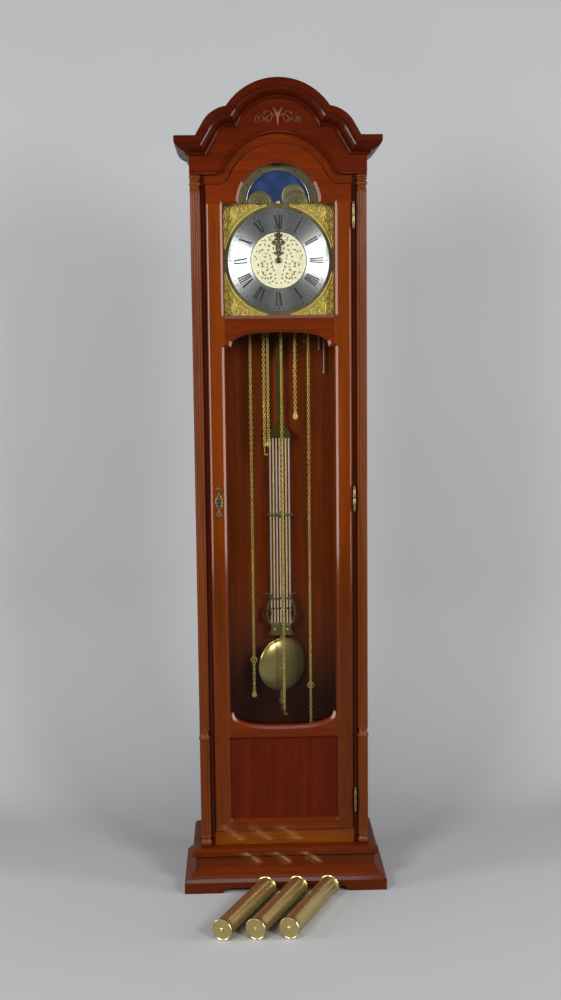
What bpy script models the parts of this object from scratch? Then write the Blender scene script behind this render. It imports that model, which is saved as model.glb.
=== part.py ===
"""Longcase clock with an arched hood, a moon dial, a lyre pendulum and three brass weights.

Metres, +Z up. The front of the clock faces -Y. Pieces are drawn in the frame of the case, whose front
plane is y = 0, and the whole clock is then moved so that the origin lies on the floor, in the middle
of the area that the case and the weights in front of it cover.
"""

from math import asin, atan2, cos, hypot, pi, radians, sin, sqrt, tan

import bmesh
import bpy
from mathutils import Matrix, Vector

# Fits
CLEARANCE = 0.0003
PIVOT_CLEARANCE = 0.0004
WELD = 0.000002

# Case
CASE_WIDTH = 0.429
CASE_DEPTH = 0.188
SIDE_THICKNESS = 0.016
BACK_THICKNESS = 0.010
PLINTH_HEIGHT = 0.087
PLINTH_BAND_HEIGHT = 0.028
PLINTH_FLARE_HEIGHT = 0.0325
PLINTH_BAND_OUT = 0.0425
PLINTH_FASCIA_OUT = 0.0141
PLINTH_WALL = 0.018
FOOT_WIDTH = 0.095
FOOT_HEIGHT = 0.013
FOOT_SLOPE = 0.014
BASE_THICKNESS = 0.020
BASE_OUT = 0.022
BASE_OVOLO = 0.009
COLUMN_HEIGHT = 1.682
COLUMN_RADIUS = 0.013
COLUMN_RING_RADIUS = 0.0145
COLUMN_NECK_RADIUS = 0.0115
COLUMN_BASE_HEIGHT = 0.029
COLUMN_CAPITAL_HEIGHT = 0.036
COLUMN_RING_HEIGHT = 0.032
COLUMN_RING_RISE = 0.276
REED_COUNT = 9
REED_DEPTH = 0.0014
FRAME_SETBACK = 0.012
STILE_DEPTH = 0.038
STILE_WIDTH = 0.036
RAIL_THICKNESS = 0.018
BOTTOM_RAIL_HEIGHT = 0.038
TOP_BOARD_THICKNESS = 0.012

# Hood: the frieze board and the crown moulding over it
CORNICE_RISE = 0.088
FRIEZE_ARCH_RADIUS = 0.152
FRIEZE_FILLET = 0.020
HOOD_ARCH_DROP = 0.054
CROWN_OUT = 0.0345
CROWN_HEIGHT = 0.044
CROWN_FASCIA = 0.017
CROWN_STEP = 0.003
CROWN_FOOT = 0.007
CROWN_ARCH_REACH = 0.036
CROWN_ARCH_DROP = 0.017
SHOULDER_RADIUS = 0.077
SHOULDER_INSET = 0.1005
SHOULDER_DROP = 0.009
SHOULDER_SLOPE = radians(60)
TOP_RAIL_WIDTH = 0.050

# Door
DOOR_THICKNESS = 0.022
DOOR_SETBACK = 0.004
DOOR_GAP = 0.002
DOOR_SHOULDER_DROP = 0.023
DOOR_ARCH_RADIUS = 0.128
DOOR_FILLET = 0.030
DOOR_STILE_WIDTH = 0.0425
SIGHT_ARCH_RADIUS = 0.097
SIGHT_LAP = 0.006
BEVEL_WIDTH = 0.007
BEVEL_DEPTH = 0.006
MIDDLE_RAIL_HEIGHT = 0.041
WINDOW_HEAD_RISE = 0.036
WINDOW_HEAD_LEDGE = 0.014
WINDOW_FOOT_DIP = 0.038
WINDOW_FOOT_LEDGE = 0.007
WINDOW_ROUNDNESS = 2.6
LOWER_RAIL_HEIGHT = 0.033
DOOR_BOTTOM_RAIL_HEIGHT = 0.030
PANEL_HEIGHT = 0.2085
PANEL_SETBACK = 0.007
PANEL_THICKNESS = 0.009
GLASS_THICKNESS = 0.003
GLASS_LAP = 0.014
ESCUTCHEON_HEIGHT = 0.078
ESCUTCHEON_WIDTH = 0.023
ESCUTCHEON_THICKNESS = 0.0015
ESCUTCHEON_RISE = 0.847
KEYHOLE_RADIUS = 0.0026
KEYHOLE_SLOT = 0.009

# Hinges
HINGE_OFFSET = 0.005
HINGE_RADIUS = 0.0035
HINGE_PIN_RADIUS = 0.0017
HINGE_LENGTH = 0.044
HINGE_FINIAL = 0.011
HINGE_LEAF = 0.0008
HINGE_LEAF_DEPTH = 0.015
HINGE_TOP_DROP = 0.097
HINGE_MIDDLE_RISE = 0.852
HINGE_BOTTOM_RISE = 0.075

# Dial
MOON_DROP = 0.062
DIAL_WIDTH = 0.280
DIAL_THICKNESS = 0.0015
DIAL_SETBACK = 0.0445
DIAL_ARCH_RADIUS = 0.115
DIAL_FOOT_RADIUS = 0.003
DIAL_FOOT_X = 0.075
DIAL_FOOT_Z = 0.085
DIAL_FOOT_MARGIN = 0.005
RING_THICKNESS = 0.0015
RING_MARGIN = 0.015
RING_INNER_RADIUS = 0.0700
CENTRE_DISC_RADIUS = 0.0685
SPANDREL_MARGIN = 0.0035
SPANDREL_GAP = 0.0075
SPANDREL_TIP = 0.0067
SKY_RADIUS = 0.076
HUMP_RADIUS = 0.029
HUMP_X = 0.0445
MOON_DISC_RADIUS = 0.085
MOON_DISC_GAP = 0.002
MOON_BOSS_RADIUS = 0.0065
HOUR_HAND_LENGTH = 0.068
MINUTE_HAND_LENGTH = 0.119
HAND_THICKNESS = 0.001
HAND_SPACE = 0.003
HAND_HUB_RADIUS = 0.0065
HAND_NUT_RADIUS = 0.0045
HOUR_PIPE_RADIUS = 0.0034

# Movement
MOVEMENT_TO_BACK = 0.113
MOVEMENT_PLATE = 0.0025
MOVEMENT_SPACE = 0.045
MOVEMENT_WIDTH = 0.182
MOVEMENT_DROP = 0.146
MOVEMENT_RISE = 0.105
MOON_TONGUE_WIDTH = 0.030
PILLAR_RADIUS = 0.0045
PILLAR_INSET = 0.007
ARBOR_RADIUS = 0.0015
WHEEL_THICKNESS = 0.0025
WHEEL_ARM_WIDTH = 0.0035
GREAT_ARM_WIDTH = 0.006
PINION_OVERLAP = 0.0008
GREAT_WHEEL_AT = 0.0335
CENTRE_WHEEL_AT = 0.0395
THIRD_WHEEL_AT = 0.0205
ESCAPE_WHEEL_AT = 0.0345
STRIKE_WHEEL_AT = 0.0090
SPOOL_RADIUS = 0.0170
SPOOL_GROOVE = 0.009
SPOOL_FLANGE = 0.0015
SPOOL_FLANGE_RADIUS = 0.0195
GOING_SPOOL_X = -0.0117
STRIKE_SPOOL_X = -0.0558
CHIME_SPOOL_X = 0.0570
SPOOL_DROP = 0.0424
GREAT_TEETH = 72
CENTRE_LEAVES = 6
STRIKE_GREAT_RADIUS = 0.030
STRIKE_GREAT_TEETH = 32
CENTRE_TEETH = 48
THIRD_LEAVES = 6
CENTRE_TO_THIRD = 0.0288
THIRD_ANGLE = radians(60)
THIRD_TEETH = 45
ESCAPE_LEAVES = 6
THIRD_TO_ESCAPE = 0.0238
ESCAPE_TEETH = 30
ESCAPE_RADIUS = 0.0165
ANCHOR_RISE = 0.0245
PALLET_RADIUS = 0.0182
PALLET_ANGLE = radians(42)
PALLET_END = radians(54.6)
CRUTCH_LENGTH = 0.105
SEAT_THICKNESS = 0.016
SEAT_DEPTH = 0.076
SEAT_SLOT_WIDTH = 0.174
SEAT_SLOT_DEPTH = 0.026

# Chains, as the lengths of their two falls below the spool
CHAIN_RADIUS = 0.0025
STRIKE_FALLS = (1.078, 0.438)
GOING_FALLS = (0.420, 1.118)
CHIME_FALLS = (0.349, 1.183)

# Chime rods
CHIME_BLOCK_RISE = 0.115
CHIME_BLOCK_HEIGHT = 0.022
CHIME_BLOCK_DEPTH = 0.026
CHIME_ROD_RADIUS = 0.0019
CHIME_ROD_PITCH = 0.0125
CHIME_FIRST_ROD_X = 0.0425
CHIME_ROD_LENGTHS = (0.200, 0.212, 0.316, 0.224, 0.236, 0.335, 0.396, 0.206)

# Pendulum
PENDULUM_TO_BACK = 0.038
LEADER_WIDTH = 0.013
LEADER_THICKNESS = 0.002
LEADER_LENGTH = 0.513
GRID_ROD_COUNT = 7
GRID_ROD_PITCH = 0.0081
GRID_ROD_RADIUS = 0.00225
GRID_THICKNESS = 0.0066
GRID_HEIGHT = 0.488
GRID_BRACE_DROP = 0.200
GRID_BRACE_WIDTH = 0.066
GRID_BRACE_HEIGHT = 0.016
LYRE_WIDTH = 0.084
LYRE_HEIGHT = 0.117
LYRE_THICKNESS = 0.0054
LYRE_BAR_HEIGHT = 0.003
LYRE_DROP = 0.032
BOB_RADIUS = 0.0700
BOB_DOME = 0.014
BOB_BACK = 0.004
BOB_GAP = 0.006
BOB_TWIST = radians(25)
BOB_SLEEVE_RADIUS = 0.0045
PENDULUM_ROD_RADIUS = 0.0020
NUT_RADIUS = 0.0065
NUT_HEIGHT = 0.012
NUT_GAP = 0.026
ROD_TIP_LENGTH = 0.019

# Weights, lying on the floor in front of the plinth
WEIGHT_RADIUS = 0.0250
WEIGHT_LENGTH = 0.272
WEIGHT_LIP = 0.0005
WEIGHT_LIP_HEIGHT = 0.006
WEIGHT_SINK = 0.002
WEIGHT_PITCH = 0.079
WEIGHT_TURN = radians(24.7)
WEIGHT_FIRST_X = -0.161
WEIGHT_NEAR_Y = -0.305
WEIGHT_STUD_RADIUS = 0.0045
WEIGHT_STUD_LENGTH = 0.006

# Heights and places that follow from the driving dimensions
HALF_WIDTH = CASE_WIDTH / 2
BASE_TOP = PLINTH_HEIGHT + BASE_THICKNESS
FRIEZE_Z = BASE_TOP + COLUMN_HEIGHT
CORNICE_Z = FRIEZE_Z + CORNICE_RISE
SHOULDER_X = HALF_WIDTH - SHOULDER_INSET
CROWN_ARCH_RADIUS = SHOULDER_X + CROWN_ARCH_REACH
HOOD_ARCH_Z = FRIEZE_Z - HOOD_ARCH_DROP
FRAME_TOP = CORNICE_Z - CROWN_FASCIA + WELD
STILE_X = HALF_WIDTH - STILE_WIDTH
STILE_BACK = FRAME_SETBACK + STILE_DEPTH
BACK_FRONT = CASE_DEPTH - BACK_THICKNESS
DOOR_HALF = STILE_X - DOOR_GAP
DOOR_BACK = DOOR_SETBACK + DOOR_THICKNESS
DOOR_BOTTOM = BASE_TOP + BOTTOM_RAIL_HEIGHT + DOOR_GAP
DOOR_SHOULDER = FRIEZE_Z - DOOR_SHOULDER_DROP
SIGHT_HALF = DOOR_HALF - DOOR_STILE_WIDTH
MOON_Z = FRIEZE_Z - MOON_DROP
DIAL_Z = MOON_Z - DIAL_WIDTH / 2
SIGHT_TOP = MOON_Z - SIGHT_LAP
SIGHT_BOTTOM = DIAL_Z - DIAL_WIDTH / 2 + SIGHT_LAP
WINDOW_TOP = SIGHT_BOTTOM - MIDDLE_RAIL_HEIGHT
PANEL_BOTTOM = DOOR_BOTTOM + DOOR_BOTTOM_RAIL_HEIGHT
PANEL_TOP = PANEL_BOTTOM + PANEL_HEIGHT
WINDOW_BOTTOM = PANEL_TOP + LOWER_RAIL_HEIGHT
HINGE_X = DOOR_HALF + HINGE_OFFSET
HINGE_Y = DOOR_SETBACK
MOVEMENT_SETBACK = CASE_DEPTH - MOVEMENT_TO_BACK
PENDULUM_SETBACK = CASE_DEPTH - PENDULUM_TO_BACK
MOVEMENT_INSIDE = MOVEMENT_SETBACK + MOVEMENT_PLATE
MOVEMENT_BACK = MOVEMENT_INSIDE + MOVEMENT_SPACE
CHAIN_Y = MOVEMENT_INSIDE + MOVEMENT_SPACE / 2
RING_OUTER_RADIUS = DIAL_WIDTH / 2 - RING_MARGIN
SPOOL_Z = DIAL_Z - SPOOL_DROP
THIRD_X = CENTRE_TO_THIRD * cos(THIRD_ANGLE)
THIRD_Z = DIAL_Z + CENTRE_TO_THIRD * sin(THIRD_ANGLE)
ESCAPE_Z = THIRD_Z + sqrt(THIRD_TO_ESCAPE**2 - THIRD_X**2)
ANCHOR_Z = ESCAPE_Z + ANCHOR_RISE
GRID_TOP = ANCHOR_Z - LEADER_LENGTH
LYRE_BOTTOM = GRID_TOP - GRID_HEIGHT - LYRE_DROP
BOB_Z = LYRE_BOTTOM - BOB_GAP - BOB_RADIUS
NUT_Z = BOB_Z - BOB_RADIUS - NUT_GAP - NUT_HEIGHT / 2
WEIGHT_AXIS = Vector((sin(WEIGHT_TURN), cos(WEIGHT_TURN), 0))
WEIGHT_END_RADIUS = WEIGHT_RADIUS + WEIGHT_LIP - WEIGHT_SINK
FRONT_Y = WEIGHT_NEAR_Y - WEIGHT_END_RADIUS * sin(WEIGHT_TURN)
ORIGIN_SHIFT = -(FRONT_Y + CASE_DEPTH) / 2

# Colour, roughness and metallic value of each finish
FINISHES = {
    "cherry": ((0.23, 0.045, 0.012), 0.30, 0.0),
    "inner_wood": ((0.10, 0.030, 0.014), 0.55, 0.0),
    "brass": ((0.78, 0.56, 0.20), 0.22, 1.0),
    "antique_brass": ((0.30, 0.22, 0.10), 0.40, 1.0),
    "silvered": ((0.55, 0.57, 0.60), 0.35, 1.0),
    "gilt": ((0.83, 0.62, 0.18), 0.30, 1.0),
    "black_steel": ((0.03, 0.03, 0.035), 0.35, 0.6),
    "steel": ((0.60, 0.60, 0.62), 0.28, 1.0),
    "moon_blue": ((0.02, 0.06, 0.25), 0.45, 0.0),
    "glass": ((0.90, 0.95, 0.95), 0.05, 0.0),
}


# Working tools


def collection(name):
    group = bpy.data.collections.new(name)
    bpy.context.scene.collection.children.link(group)
    return group


def clear_scene():
    for item in list(bpy.data.objects):
        bpy.data.objects.remove(item)


def working_object(data):
    """A cutter or a shape under way: it is removed again when its mesh has been taken."""
    holder = bpy.data.objects.new("working", data)
    holder.hide_render = True
    holder.display_type = "WIRE"
    TOOLS.objects.link(holder)
    return holder


def tidied(mesh):
    shape = bmesh.new()
    shape.from_mesh(mesh)
    bmesh.ops.remove_doubles(shape, verts=shape.verts, dist=WELD)
    bmesh.ops.dissolve_degenerate(shape, edges=shape.edges, dist=WELD)
    bmesh.ops.recalc_face_normals(shape, faces=shape.faces)
    shape.to_mesh(mesh)
    shape.free()
    return mesh


def baked(holder):
    """The finished mesh of a working object, in the frame of the case."""
    bpy.context.view_layer.update()
    graph = bpy.context.evaluated_depsgraph_get()
    mesh = bpy.data.meshes.new_from_object(holder.evaluated_get(graph))
    mesh.transform(holder.matrix_world)
    bpy.data.objects.remove(holder)
    return tidied(mesh)


def boolean(operation, first, *others):
    holder = working_object(first)
    tools = []
    for other in others:
        tool = working_object(other)
        step = holder.modifiers.new(operation.lower(), "BOOLEAN")
        step.operation = operation
        step.solver = "EXACT"
        step.object = tool
        tools.append(tool)
    mesh = baked(holder)
    for tool in tools:
        bpy.data.objects.remove(tool)
    return mesh


def joined(first, *others):
    return boolean("UNION", first, *others)


def cut(first, *others):
    return boolean("DIFFERENCE", first, *others)


def block(x0, x1, y0, y1, z0, z1):
    shape = bmesh.new()
    size = Matrix.Diagonal((x1 - x0, y1 - y0, z1 - z0, 1))
    middle = Matrix.Translation(((x0 + x1) / 2, (y0 + y1) / 2, (z0 + z1) / 2))
    bmesh.ops.create_cube(shape, size=1, matrix=middle @ size)
    mesh = bpy.data.meshes.new("block")
    shape.to_mesh(mesh)
    shape.free()
    return mesh


def rod(start, end, radius, sides=10):
    start = Vector(start)
    along = Vector(end) - start
    turn = along.to_track_quat("Z", "Y").to_matrix().to_4x4()
    shape = bmesh.new()
    bmesh.ops.create_cone(
        shape,
        cap_ends=True,
        segments=sides,
        radius1=radius,
        radius2=radius,
        depth=along.length,
        matrix=Matrix.Translation(start + along / 2) @ turn,
    )
    mesh = bpy.data.meshes.new("rod")
    shape.to_mesh(mesh)
    shape.free()
    return mesh


def outline_curve(loops, half_thickness):
    curve = bpy.data.curves.new("outline", "CURVE")
    curve.dimensions = "2D"
    curve.fill_mode = "BOTH"
    curve.extrude = half_thickness
    for loop in loops:
        spline = curve.splines.new("POLY")
        spline.points.add(len(loop) - 1)
        for point, (across, up) in zip(spline.points, loop):
            point.co = (across, up, 0, 1)
        spline.use_cyclic_u = True
    return curve


def plate(loops, front, back):
    """A flat piece that faces the front: its outline and its holes are loops of (x, z) points."""
    holder = working_object(outline_curve(loops, (back - front) / 2))
    turn = Matrix.Rotation(pi / 2, 4, "X")
    holder.matrix_world = Matrix.Translation((0, (front + back) / 2, 0)) @ turn
    return baked(holder)


def prism(loops, bottom, top):
    """An upright piece: its outline and its holes are loops of (x, y) points."""
    holder = working_object(outline_curve(loops, (top - bottom) / 2))
    holder.location = (0, 0, (top + bottom) / 2)
    return baked(holder)


def turned(profile, steps, place):
    """A turned piece from (radius, height) points that run from its top down its outer side."""
    mesh = bpy.data.meshes.new("profile")
    points = [(radius, 0, height) for radius, height in profile]
    mesh.from_pydata(points, [(i, i + 1) for i in range(len(points) - 1)], [])
    holder = working_object(mesh)
    screw = holder.modifiers.new("turning", "SCREW")
    screw.steps = steps
    screw.render_steps = steps
    screw.use_merge_vertices = True
    screw.merge_threshold = WELD
    holder.matrix_world = place
    return baked(holder)


def lofted(rings):
    """A closed body through rings of points, with a flat cap on the first and the last."""
    shape = bmesh.new()
    rows = [[shape.verts.new(point) for point in ring] for ring in rings]
    count = len(rows[0])
    for lower, upper in zip(rows, rows[1:]):
        for i in range(count):
            j = (i + 1) % count
            shape.faces.new((lower[i], lower[j], upper[j], upper[i]))
    shape.faces.new(rows[0])
    shape.faces.new(rows[-1])
    mesh = bpy.data.meshes.new("loft")
    shape.to_mesh(mesh)
    shape.free()
    return tidied(mesh)


def arc(x, z, radius, start, end, steps):
    """Points on a circle, with both ends."""
    angles = [start + (end - start) * i / steps for i in range(steps + 1)]
    return [(x + radius * cos(a), z + radius * sin(a)) for a in angles]


def circle(x, z, radius, sides=24):
    return arc(x, z, radius, 0, 2 * pi * (1 - 1 / sides), sides - 1)


def smooth(points, steps):
    """A curve through the given points, with a number of steps from each to the next."""
    result = []
    last = len(points) - 1
    for i in range(last):
        a, b, c, d = (Vector(points[min(max(k, 0), last)]) for k in (i - 1, i, i + 1, i + 2))
        for step in range(steps):
            t = step / steps
            bend = (2 * a - 5 * b + 4 * c - d) * t + (3 * b - a - 3 * c + d) * t * t
            result.append(tuple(b + 0.5 * t * (c - a + bend)))
    return result + [tuple(points[last])]


def mirrored(right):
    """Both sides of an outline whose right half starts and ends on the middle line or beside it."""
    left = [(-x, z) for x, z in reversed(right)]
    return right + [point for point in left if abs(point[0]) > WELD]


def grown(loop, distance):
    """An outline moved outwards by a distance, for a loop that runs anticlockwise."""
    result = []
    for i, here in enumerate(loop):
        before = Vector(loop[i - 1])
        after = Vector(loop[(i + 1) % len(loop)])
        here = Vector(here)
        first = (here - before).normalized()
        second = (after - here).normalized()
        normal = Vector((first.y + second.y, -first.x - second.x)).normalized()
        stretch = max(normal.dot(Vector((first.y, -first.x))), 0.5)
        result.append(tuple(here + normal * distance / stretch))
    return result


def pivot(name, location, parent):
    empty = bpy.data.objects.new(name, None)
    empty.empty_display_size = 0.05
    PARTS.objects.link(empty)
    empty.parent = parent
    empty.location = Vector(location) - (PLACES[parent] if parent else Vector())
    PLACES[empty] = Vector(location)
    return empty


def add_piece(name, mesh, finish, carrier):
    """Name a finished mesh, give it a material and hang it on the empty that carries it."""
    colour, roughness, metallic = FINISHES[finish]
    material = bpy.data.materials.new(name + "_" + finish)
    material.use_nodes = True
    shader = material.node_tree.nodes["Principled BSDF"]
    shader.inputs["Base Color"].default_value = (*colour, 1)
    shader.inputs["Roughness"].default_value = roughness
    shader.inputs["Metallic"].default_value = metallic
    mesh.name = name
    mesh.materials.clear()
    mesh.materials.append(material)
    mesh.shade_smooth()
    mesh.set_sharp_from_angle(angle=radians(32))
    piece = bpy.data.objects.new(name, mesh)
    PARTS.objects.link(piece)
    piece.parent = carrier
    piece.location = -PLACES[carrier]
    return piece


# Outlines that several pieces share

WHEEL_TOOTH = ((-1.1, -0.5), (0.75, 0))
PINION_LEAF = ((-1.1, -0.36), (0.75, -0.09), (0.75, 0.09), (-1.1, 0.36))
MILLED_EDGE = ((0, -0.5), (0.3, 0))


def arched_edge(half, shoulder, radius, fillet, steps=18):
    """The line of a flat shoulder, a fillet and an arch, from left to right."""
    fillet_x = sqrt((radius + fillet) ** 2 - (shoulder + fillet - HOOD_ARCH_Z) ** 2)
    fillet_z = shoulder + fillet
    join = atan2(fillet_z - HOOD_ARCH_Z, fillet_x)
    left = [(-half, shoulder)]
    left += arc(-fillet_x, fillet_z, fillet, -pi / 2, -join, 5)
    arch = arc(0, HOOD_ARCH_Z, radius, pi - join, join, steps)
    right = [(-x, z) for x, z in reversed(left)]
    return left + arch[1:-1] + right


def rounded_rise(half, ledge, rise, steps=14):
    """Height of a window's end line above its ledge: a rounded arch between two short ledges."""
    width = half - ledge
    points = []
    for i in range(steps + 1):
        across = -cos(pi * i / steps)
        height = (1 - abs(across) ** WINDOW_ROUNDNESS) ** (1 / WINDOW_ROUNDNESS)
        points.append((across * width, height * rise))
    return points


def window_head():
    """The window's top line, from left to right, without the corners."""
    foot = WINDOW_TOP - WINDOW_HEAD_RISE
    return [(x, foot + z) for x, z in rounded_rise(SIGHT_HALF, WINDOW_HEAD_LEDGE, WINDOW_HEAD_RISE)]


def window_foot():
    """The window's bottom line, from left to right, without the corners."""
    ledge = WINDOW_BOTTOM + WINDOW_FOOT_DIP
    return [(x, ledge - z) for x, z in rounded_rise(SIGHT_HALF, WINDOW_FOOT_LEDGE, WINDOW_FOOT_DIP)]


def crown_line(drop, steps=4):
    """The crown's front line at a depth below its top edge, from the left corner to the right."""
    flat_z = CORNICE_Z - drop
    arch_z = CORNICE_Z - CROWN_ARCH_DROP
    centre_z = CORNICE_Z - SHOULDER_DROP
    shoulder = SHOULDER_RADIUS - drop
    arch = CROWN_ARCH_RADIUS - drop
    start_x = -SHOULDER_X - shoulder * sin(SHOULDER_SLOPE)
    start_z = centre_z + shoulder * cos(SHOULDER_SLOPE)
    corner_x = start_x - (start_z - flat_z) / tan(SHOULDER_SLOPE)
    across = Vector((-SHOULDER_X, centre_z - arch_z))
    span = across.length
    along = (arch**2 - shoulder**2 + span**2) / (2 * span)
    height = sqrt(arch**2 - along**2)
    unit = across / span
    notch = (unit.x * along + unit.y * height, arch_z + unit.y * along - unit.x * height)
    notch_on_shoulder = atan2(notch[1] - centre_z, notch[0] + SHOULDER_X)
    notch_on_arch = atan2(notch[1] - arch_z, notch[0])
    left = [(corner_x, flat_z)]
    left += arc(-SHOULDER_X, centre_z, shoulder, SHOULDER_SLOPE + pi / 2, notch_on_shoulder, steps)
    left += arc(0, arch_z, arch, notch_on_arch, pi / 2, steps + 2)[1:]
    return left + [(-x, z) for x, z in reversed(left[:-1])]


def gear(x, z, teeth, radius, phase, shape):
    """Outline of a wheel or pinion with one tooth at the phase angle.

    The shape of a tooth is a row of (height in modules above the pitch circle, share of the pitch).
    """
    module = 2 * radius / teeth
    step = 2 * pi / teeth
    points = []
    for tooth in range(teeth):
        middle = phase + tooth * step
        for out, turn in shape:
            reach = radius + out * module
            angle = middle + turn * step
            points.append((x + reach * cos(angle), z + reach * sin(angle)))
    return points


def crossings(x, z, inner, outer, arms, arm_width):
    """The openings between the arms of a wheel."""
    loops = []
    for k in range(arms):
        start = 2 * pi * (k + 0.2) / arms
        end = start + 2 * pi / arms
        out_gap = asin(arm_width / 2 / outer)
        in_gap = asin(arm_width / 2 / inner)
        loop = arc(x, z, outer, start + out_gap, end - out_gap, 3)
        loop += arc(x, z, inner, end - in_gap, start + in_gap, 1)
        loops.append(loop)
    return loops


def arbor(x, z, front, back):
    return rod((x, front, z), (x, back, z), ARBOR_RADIUS, 8)


def bearing(x, z):
    return circle(x, z, ARBOR_RADIUS + PIVOT_CLEARANCE, 7)


def turn_to_y(x, y, z):
    """Places a turned piece with its axis along Y and its top towards the front."""
    return Matrix.Translation((x, y, z)) @ Matrix.Rotation(pi / 2, 4, "X")


# Case


def swept_round_case(profile):
    """A moulding of (projection, height) points that runs round the front and both sides, mitred."""
    rings = []
    for side, at_back in ((-1, True), (-1, False), (1, False), (1, True)):
        ring = []
        for out, height in profile:
            y = CASE_DEPTH if at_back else -out
            ring.append((side * (HALF_WIDTH + out), y, height))
        rings.append(ring)
    return lofted(rings)


def plinth_skirt():
    flare_top = PLINTH_BAND_HEIGHT + PLINTH_FLARE_HEIGHT
    reach = PLINTH_BAND_OUT - PLINTH_FASCIA_OUT
    flare = []
    for i in range(1, 6):
        t = i / 5
        out = PLINTH_BAND_OUT - reach * (1 - (1 - t) ** 1.5)
        flare.append((out, PLINTH_BAND_HEIGHT + t * PLINTH_FLARE_HEIGHT))
    inside = PLINTH_FASCIA_OUT - PLINTH_WALL
    top = PLINTH_HEIGHT - CLEARANCE
    profile = [(inside, 0), (PLINTH_BAND_OUT, 0), (PLINTH_BAND_OUT, PLINTH_BAND_HEIGHT), *flare]
    profile += [(PLINTH_FASCIA_OUT, (flare_top + top) / 2), (PLINTH_FASCIA_OUT, top), (inside, top)]
    half = HALF_WIDTH + PLINTH_BAND_OUT - FOOT_WIDTH
    below = FOOT_HEIGHT
    gap = [
        (-half - FOOT_SLOPE, -below),
        (half + FOOT_SLOPE, -below),
        (half - FOOT_SLOPE, FOOT_HEIGHT),
        (-half + FOOT_SLOPE, FOOT_HEIGHT),
    ]
    return cut(swept_round_case(profile), plate([gap], -2 * PLINTH_BAND_OUT, 2 * PLINTH_WALL))


def base_board():
    low = BASE_TOP - BASE_THICKNESS
    ease = BASE_OVOLO / 4
    edge = [(BASE_OUT - ease, low), (BASE_OUT, low + ease), (BASE_OUT, BASE_TOP - BASE_OVOLO)]
    for i in range(1, 5):
        a = pi / 2 * i / 4
        edge.append((BASE_OUT - BASE_OVOLO * (1 - cos(a)), BASE_TOP - BASE_OVOLO * (1 - sin(a))))
    rings = []
    for out, height in edge:
        x = HALF_WIDTH + out
        corners = ((-x, -out), (x, -out), (x, CASE_DEPTH), (-x, CASE_DEPTH))
        rings.append([(*corner, height) for corner in corners])
    return lofted(rings)


def side_panel(side):
    inner = HALF_WIDTH - SIDE_THICKNESS
    x0, x1 = sorted((side * inner, side * HALF_WIDTH))
    front = STILE_BACK + CLEARANCE
    return block(x0, x1, front, BACK_FRONT - CLEARANCE, BASE_TOP + CLEARANCE, FRAME_TOP)


def front_stile(side):
    """A corner post with a rebate in front, in which the column stands."""
    x0, x1 = sorted((side * STILE_X, side * HALF_WIDTH))
    post = block(x0, x1, FRAME_SETBACK, STILE_BACK, BASE_TOP + CLEARANCE, FRAME_TOP)
    column_x = HALF_WIDTH - COLUMN_RADIUS
    reach = COLUMN_RING_RADIUS + CLEARANCE
    r0, r1 = sorted((side * (column_x - reach), side * (HALF_WIDTH + COLUMN_RADIUS)))
    rebate = block(r0, r1, -COLUMN_RADIUS, COLUMN_RADIUS + reach, BASE_TOP - COLUMN_RADIUS, FRIEZE_Z)
    return cut(post, rebate)


def front_bottom_rail():
    x = STILE_X - CLEARANCE
    back = FRAME_SETBACK + RAIL_THICKNESS
    low = BASE_TOP + CLEARANCE
    return block(-x, x, FRAME_SETBACK, back, low, BASE_TOP + BOTTOM_RAIL_HEIGHT)


def front_top_rail():
    """The head of the door frame: its lower edge follows the top of the door."""
    x = STILE_X - CLEARANCE
    shoulder = DOOR_SHOULDER + DOOR_GAP
    lower = arched_edge(x, shoulder, DOOR_ARCH_RADIUS + DOOR_GAP, DOOR_FILLET - DOOR_GAP)
    radius = DOOR_ARCH_RADIUS + TOP_RAIL_WIDTH
    rise = asin((FRAME_TOP - HOOD_ARCH_Z) / radius)
    upper = [(x, FRAME_TOP)]
    upper += arc(0, HOOD_ARCH_Z, radius, rise, pi - rise, 12)
    upper += [(-x, FRAME_TOP)]
    return plate([lower + upper], FRAME_SETBACK, FRAME_SETBACK + RAIL_THICKNESS)


def frieze_board():
    lower = arched_edge(HALF_WIDTH, FRIEZE_Z, FRIEZE_ARCH_RADIUS, FRIEZE_FILLET)
    top = crown_line(CROWN_STEP)
    upper = [(HALF_WIDTH, top[-1][1]), *reversed(top), (-HALF_WIDTH, top[0][1])]
    return plate([lower + upper], 0, FRAME_SETBACK - CLEARANCE)


def crown_profile():
    """Points of the crown's section as (drop below the top edge, projection)."""
    cove = []
    cove_height = CROWN_HEIGHT - CROWN_FASCIA - CROWN_STEP - CROWN_FOOT
    cove_reach = CROWN_OUT - CROWN_STEP - CROWN_FOOT
    for i in range(5):
        a = pi / 2 * i / 4
        drop = CROWN_FASCIA + CROWN_STEP + cove_height * sin(a)
        hollow = 0.35 * (1 - sin(a)) + 0.65 * cos(a) ** 2
        cove.append((drop, CROWN_FOOT + cove_reach * hollow))
    fascia = [(0, CROWN_OUT), (CROWN_FASCIA, CROWN_OUT), (CROWN_FASCIA, CROWN_OUT - CROWN_STEP)]
    foot = CROWN_HEIGHT
    bead = [(foot - CROWN_STEP, CROWN_FOOT), (foot, CROWN_FOOT / 2)]
    return fascia + cove + bead + [(foot, CLEARANCE), (0, CLEARANCE)]


def crown_moulding():
    lines = []
    for drop, out in crown_profile():
        x = HALF_WIDTH + out
        z = CORNICE_Z - drop
        front = [(px, -out, pz) for px, pz in crown_line(drop)]
        lines.append([(-x, CASE_DEPTH, z), (-x, -out, z), *front, (x, -out, z), (x, CASE_DEPTH, z)])
    return lofted(list(zip(*lines)))


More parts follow.
